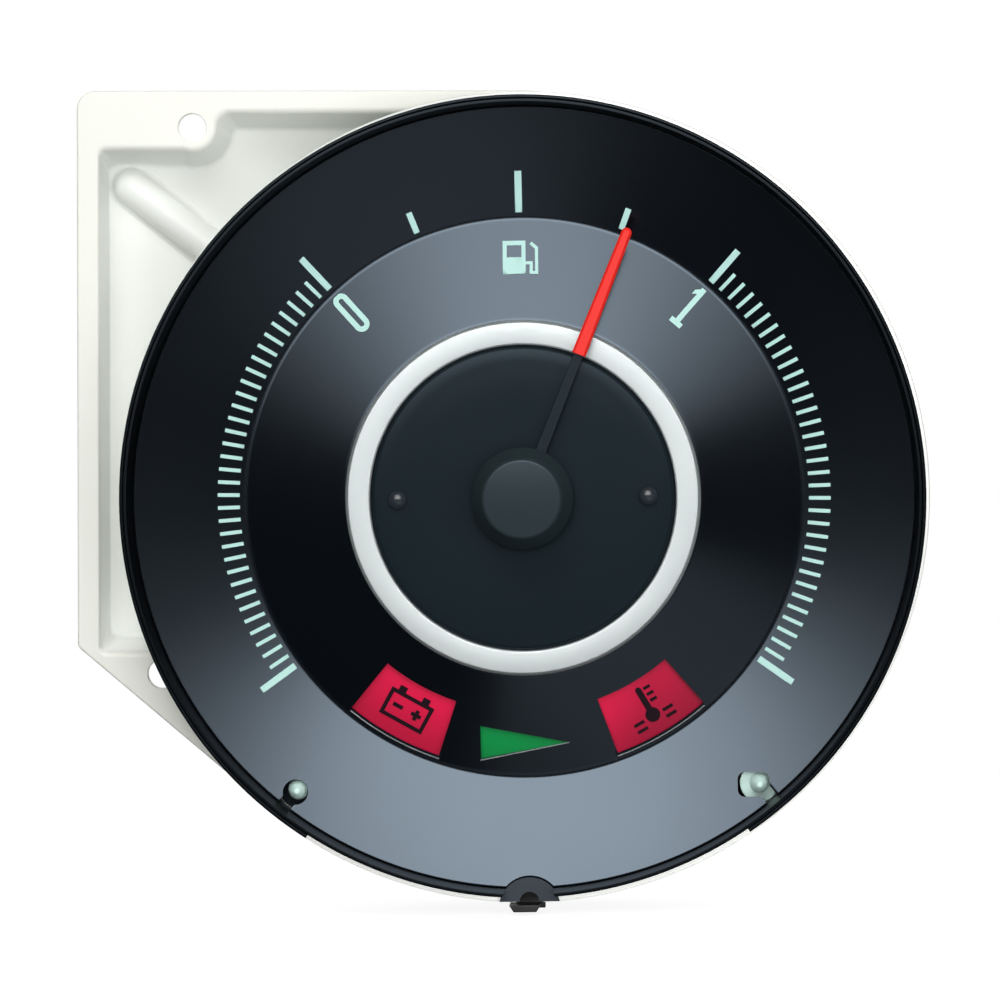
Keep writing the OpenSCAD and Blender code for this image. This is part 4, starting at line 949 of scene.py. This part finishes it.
class GAUGE_OT_band(GaugeOperator):
    """Builds the black band round the lip, open at the bottom."""
    bl_idname = "gauge.band"
    bl_label = "Rim Band"

    def make(self):
        bm = spun([(69.4, RIM_FRONT + 0.05), (70.05, RIM_FRONT + 0.05), (70.05, 13.9), (69.4, 13.9)],
                  [(0.28, (2,)), (0.2, (3,))], turn=293, start=-146.5, steps=252)
        crisp_piece("outer_band", bm, 40, "case", "rim_band")


class GAUGE_OT_dial(GaugeOperator):
    """Builds the pressed dial plate with its windows and pin holes."""
    bl_idname = "gauge.dial"
    bl_label = "Dial Plate"

    def make(self):
        reach = sizes().valley_round / MM
        front = [(24.0, DIAL_FLANGE_Z), (CONE_TOP_R, DIAL_FLANGE_Z), (VALLEY_R, VALLEY_Z),
                 (DIAL_R - 0.15, bowl_z(DIAL_R - 0.15)), (DIAL_R, bowl_z(DIAL_R - 0.15))]
        back = [(r, z - DIAL_T) for r, z in reversed(front)]
        bm = spun(front + back, [(reach, (2, 7)), (0.4, (1, 8))])
        plate = as_object("dial_pressing", bm)
        cut(plate, *self.windows(), *self.window_steps(), *self.pin_holes(),
            moved(disc_bar(PAD_R + 0.2, 0, 12), (0, -PAD_MID, 0)))
        placed(soften(plate, 0.06, 38), "case", "dial_plate")
        edges = crisp(as_object("window_edges", joined(*self.window_edges())))
        finished(edges, "case", *like("front_plate"))
        placed(crisp(self.scale()), "case", "dial_marks")

    def scale(self):
        """The printed marks, with slimmer ticks at the sides."""
        scale = cad_copy("printed_scale", "dial_marks", tidy=False)
        bm = bmesh.new()
        bm.from_mesh(scale.data)
        for group in islands(bm):
            centre = sum((vert.co for vert in group), Vector()) / len(group)
            out = Vector((centre.x, 0, centre.z))
            turn = abs(math.degrees(math.atan2(centre.x, centre.z)))
            if out.length < VALLEY_R * MM or turn < TICKS_FROM:
                continue
            across = Vector((-out.z, 0, out.x)).normalized()
            for vert in group:
                vert.co -= across * ((vert.co - centre).dot(across) * (1 - TICK_SLIM))
        bm.to_mesh(scale.data)
        bm.free()
        return scale

    def window(self, side, spare, r_in, r_out, low, high, parts=24):
        """A slab over a warning window, with some spare turn at its start and its end."""
        start, end = 90 - side * (WINDOW_FROM + spare[0]), 90 - side * (WINDOW_TO + spare[1])
        return slab(arc((0, 0), r_in, start, end, parts) + arc((0, 0), r_out, end, start, 30), low, high)

    def windows(self):
        for side in (-1, 1):
            yield self.window(side, (0, 0), WINDOW_IN, WINDOW_OUT, 0, 12)
        yield slab([(-8.3, -40.0), (-8.3, -45.9), (7.2, -43.1)], 0, 12)

    def window_steps(self):
        """A dark step beside each window's lower edge."""
        for side in (-1, 1):
            yield self.window(side, (0.2, 0.4), WINDOW_OUT - 0.5, WINDOW_OUT + 0.62, cone_z(WINDOW_OUT) - 0.42, 12)
        yield slab([(-8.3, -45.0), (7.4, -43.0), (7.4, -43.25), (-8.45, -46.3)], cone_z(45.6) - 0.42, 12)

    def window_edges(self):
        """The bare cut metal along the lower side of each window."""
        top, r = cone_z(WINDOW_OUT), WINDOW_OUT + 0.42
        for side in (-1, 1):
            yield self.window(side, (0.3, 0.2), r, r + 0.17, top - 0.5, top - 0.17, 30)
        yield slab([(-8.4, -46.03), (7.3, -43.13), (7.3, -43.25), (-8.4, -46.22)],
                   cone_z(45.6) - 0.5, cone_z(46.6) - 0.03)

    def pin_holes(self):
        yield moved(disc_bar(2.2, 0, 12), (0, PIN_OUT + 0.5, 0), -PIN_HOLE_TURN)
        yield moved(block((2.4, 8, 12), (0, PIN_OUT + 4.5, 6)), turn=-PIN_HOLE_TURN)
        yield moved(block((2.4, 8, 12), (0, PIN_OUT + 4, 6)), turn=PIN_TURN)
        x, y = polar(PIN_TURN, PIN_OUT)
        low, high, r = (x - 3.79, y - 2.33), (x + 1.81, y + 2.02), 1.3
        corners = [(high[0], high[1], 0), (low[0], high[1], 90), (low[0], low[1], 180), (high[0], low[1], 270)]
        points = []
        for cx, cy, start in corners:
            inner = (min(max(cx, low[0] + r), high[0] - r), min(max(cy, low[1] + r), high[1] - r))
            points += arc(inner, r, start, start + 90, 8)
        yield slab(points, 0, 12)


class GAUGE_OT_centre(GaugeOperator):
    """Builds the bright trim ring, the centre disc and its rivets."""
    bl_idname = "gauge.centre"
    bl_label = "Trim Ring, Disc and Rivets"

    def make(self):
        back = DIAL_FLANGE_Z + 0.05
        bm = spun([(TRIM_IN, back), (TRIM_R, back), (TRIM_R, 6.85), (TRIM_R - 0.5, 7.43), (TRIM_IN + 0.25, 7.375),
                   (TRIM_IN, 7.2)], [(0.12, (2, 3, 4))], steps=360)
        crisp_piece("bright_ring", bm, 60, "case", "trim_ring")
        bm = spun([(3.6, back), (DISC_R, back), (DISC_R, DISC_Z - 0.2), (22.6, DISC_Z - 0.07),
                   (18.5, DISC_Z), (3.6, DISC_Z)],
                  [(0.8, (2,)), (1.4, (3, 4))], steps=360, parts=6)
        disc = cut(as_object("hub_disc", bm),
                   *[moved(disc_bar(1.45, 0, 12), (side * RIVET_OUT, 0, 0)) for side in (-1, 1)])
        placed(crisp(disc, 40), "case", "centre_disc")
        heads = []
        for side in (-1, 1):
            bm = spun([(0, 3.35), (2.1, 3.35), (2.1, 4.1), (1.4, 4.1), (1.4, 7.55), (1.68, 7.55), (1.68, 7.9),
                       (0.95, 8.5), (0, 8.6)], [(0.3, (6,)), (0.5, (7,))], steps=64, parts=5)
            heads.append(moved(bm, (side * RIVET_OUT, 0, 0)))
        crisp_piece("dome_rivets", joined(*heads), 45, "case", "disc_rivets")


class GAUGE_OT_pointer(GaugeOperator):
    """Builds the pointer's hub, arm and red blade."""
    bl_idname = "gauge.pointer"
    bl_label = "Pointer"

    def make(self):
        low = ARM_Z + ARM_T + 0.05
        bm = spun([(8.1, low), (HUB_BASE_R, low), (HUB_BASE_R, low + 0.4), (HUB_R, HUB_Z), (0, HUB_Z), (0, 13.0),
                   (0.77, 13.0), (0.77, low), (1.8, low), (1.8, 12.8), (6.05, 12.8)],
                  [(sizes().hub_round / MM, (3,)), (0.2, (1, 2))], steps=160, parts=6)
        crisp_piece("pointer_hub", bm, 45, "pointer", "hub_cap")
        soft_copy("pointer_bar", "pointer_arm", 0.1, "pointer")
        self.blade()

    def blade(self):
        low, height, wide, tip = ARM_Z + ARM_T + 0.025, 0.9, 1.24, 0.92
        points = [(-wide, BLADE_FROM), (wide, BLADE_FROM)] + arc((0, POINTER_LEN - tip), tip, 0, 180, 16)
        bm = slab(points, low, low + height)
        tops = [e for e in bm.edges if all(v.co.z > low + 0.5 for v in e.verts)
                and not all(v.co.y < BLADE_FROM + 0.1 for v in e.verts)]
        bmesh.ops.bevel(bm, geom=tops, offset=0.42, offset_type="OFFSET", segments=1, profile=0.5,
                        affect="EDGES", material=-1, clamp_overlap=True)
        moved(bm, turn=REST_TURN)
        blade = soften(as_object("pointer_blade", bm), 0.05, 25)
        placed(blade, "pointer", "pointer_tip")


class GAUGE_OT_pins(GaugeOperator):
    """Builds the locating pins and the clip at the bottom."""
    bl_idname = "gauge.pins"
    bl_label = "Pins and Clip"

    def make(self):
        pair = []
        for side in (-1, 1):
            wide = 3.4 if side > 0 else 1.8
            bm = spun([(0, -6), (1.6, -6), (1.6, 3.05), (wide, 3.05), (wide, 3.75), (1.7, 3.75), (1.65, 4.6),
                       (1.42, 4.9), (1.4, 6.6), (0.45, 8.1), (0, 8.1)],
                      [(0.15, (3, 4)), (0.15, (6, 7)), (0.4, (8,)), (0.25, (9,))], steps=64)
            pair.append(moved(bm, (0, PIN_OUT, 0), side * PIN_TURN))
        crisp_piece("dial_pins", joined(*pair), 45, "case", "locating_pins")
        soft_copy("bottom_clip", "rim_clip", 0.15)


class GAUGE_OT_terminals(GaugeOperator):
    """Builds the threaded studs with their nuts, washers and bushings, and the resistor with its tabs."""
    bl_idname = "gauge.terminals"
    bl_label = "Terminals"

    def make(self):
        crisp_piece("threaded_studs", joined(*at_studs(self.stud)), 50, "case", "terminal_studs")
        nuts = soften(as_object("hex_nuts", joined(*at_studs(self.nut))), 0.06)
        placed(nuts, "case", "stud_nuts")
        soft_copy("insulating_washers", "fibre_washers", 0.08)
        soft_copy("stud_insulators", "stud_bushings", 0.15)
        soft_copy("ceramic_resistor", "shunt_resistor", 0.5)
        soft_copy("solder_tabs", "resistor_tabs", 0.08)

    def stud(self):
        """A stud with a thread of 0.7 mm pitch behind the case and a flat head inside."""
        pitch, depth, around = 0.7, 0.36, 40
        bm = bmesh.new()
        count = round((THREAD_TOP - STUD_END) / 0.0875)
        rows = []
        for i in range(count + 1):
            z = STUD_END + (THREAD_TOP - STUD_END) * i / count
            limit = STUD_R - 0.45 + (z - STUD_END)
            fade = min(1.0, (THREAD_TOP - z) / pitch)
            points = []
            for k in range(around):
                wave = abs(2 * ((z / pitch - k / around) % 1.0) - 1)
                r = min(limit, STUD_R - depth * fade * min(1.0, max(0.0, wave * 1.25 - 0.12)))
                points.append(polar(360 * k / around, r))
            rows.append(row(bm, points, z, True))
        head = STUD_HEAD_Z + 0.9
        for r, z in ((STUD_R, STUD_HEAD_Z), (STUD_HEAD_R - 0.15, STUD_HEAD_Z), (STUD_HEAD_R, STUD_HEAD_Z + 0.15),
                     (STUD_HEAD_R, head - 0.15), (STUD_HEAD_R - 0.15, head)):
            rows.append(row(bm, [polar(360 * k / around, r) for k in range(around)], z, True))
        bridged(bm, rows)
        bmesh.ops.holes_fill(bm, edges=rows[0] + rows[-1], sides=0)
        return outward(bm)

    def nut(self):
        """A hexagon nut, with its corners and both ends of its bore chamfered at 30 degrees."""
        slope, around = math.tan(math.radians(30)), 72
        bore, mouth, crown = STUD_R + 0.03, 2.38, 3.4
        bm = bmesh.new()
        columns = []
        for k in range(around):
            turn = 360 * k / around
            out = NUT_ACROSS / 2 / math.cos(math.radians(turn % 60 - 30))
            near = [(bore, (mouth - bore) * slope), (mouth, 0.0), (crown, 0.0), (out, (out - crown) * slope)]
            section = [(r, NUT_Z - NUT_T + z) for r, z in near] + [(r, NUT_Z - z) for r, z in reversed(near)]
            columns.append([bm.verts.new((*polar(turn + 30, r), z)) for r, z in section])
        for this, after in zip(columns, columns[1:] + columns[:1]):
            for i in range(len(this)):
                bm.faces.new((this[i - 1], this[i], after[i], after[i - 1]))
        return outward(bm)


class GAUGE_OT_circuit(GaugeOperator):
    """Builds the circuit sheet with its copper tracks, and the lamp sockets with their contacts."""
    bl_idname = "gauge.circuit"
    bl_label = "Circuit and Lamps"

    def make(self):
        tracks = as_object("tracks", joined(*self.tracks()))
        placed(merged("circuit_sheet", cad_copy("sheet", "printed_circuit"), tracks), "case", "printed_circuit")
        soft_copy("lamp_sockets", "lamp_holders", 0.35)
        soft_copy("contact_springs", "lamp_contacts", 0.06)

    def tracks(self):
        """A ring round the studs, a land at each stud and two tracks to each lamp, each lot at its own height."""
        top = CIRCUIT_BACK + 0.1
        low = CIRCUIT_BACK - 0.04
        def land(r_in, r_out, drop=0.0):
            return spun([(r_in, low + drop), (r_out, low + drop), (r_out, top), (r_in, top)], steps=64)
        def strip(x, start, end, wide=1.8, drop=0.004):
            tall = top - low - drop
            return block((wide, end - start, tall), (x, (start + end) / 2, top - tall / 2))
        yield spun([(19.9, low), (21.4, low), (21.4, top), (19.9, top)], steps=160)
        yield from at_studs(lambda: land(STUD_R + 0.4, 4.6, 0.002))
        yield strip(0, STUD_OUT + 4.4, 20.4)
        for turn, out in LAMPS:
            yield moved(strip(-3.4, 20.8, out - 7.6), turn=turn)
            yield moved(strip(3.4, 24.0, out - 7.6), turn=turn)
            yield moved(land(0.5, 1.7, 0.002), (3.4, 24.0, 0), turn)


class GAUGE_PT_panel(bpy.types.Panel):
    """Lists the gauge's settings and build steps."""
    bl_idname = "GAUGE_PT_panel"
    bl_label = "Fuel Gauge"
    bl_space_type = "VIEW_3D"
    bl_region_type = "UI"
    bl_category = "Fuel Gauge"

    def draw(self, context):
        for name in GROUPS:
            group = getattr(context.scene, name)
            box = self.layout.box()
            box.label(text=name.split("_")[1].capitalize())
            for key in group.__annotations__:
                box.prop(group, key)
        column = self.layout.column(align=True)
        for operator in OPERATORS:
            column.operator(operator.bl_idname)


OPERATORS = [GAUGE_OT_stage, GAUGE_OT_finishes, GAUGE_OT_case, GAUGE_OT_bowl, GAUGE_OT_band, GAUGE_OT_dial,
             GAUGE_OT_centre, GAUGE_OT_pointer, GAUGE_OT_pins, GAUGE_OT_terminals, GAUGE_OT_circuit]
GROUPS = {"gauge_sizes": GaugeSizes, "gauge_colours": GaugeColours, "gauge_light": GaugeLight}


def register():
    for cls in [*GROUPS.values(), *OPERATORS, GAUGE_PT_panel]:
        bpy.utils.register_class(cls)
    for name, group in GROUPS.items():
        setattr(bpy.types.Scene, name, PointerProperty(type=group))


def unregister():
    for name in GROUPS:
        delattr(bpy.types.Scene, name)
    for cls in reversed([*GROUPS.values(), *OPERATORS, GAUGE_PT_panel]):
        bpy.utils.unregister_class(cls)


def main():
    register()
    for operator in OPERATORS:
        group, name = operator.bl_idname.split(".")
        getattr(getattr(bpy.ops, group), name)()


if __name__ == "__main__":
    main()
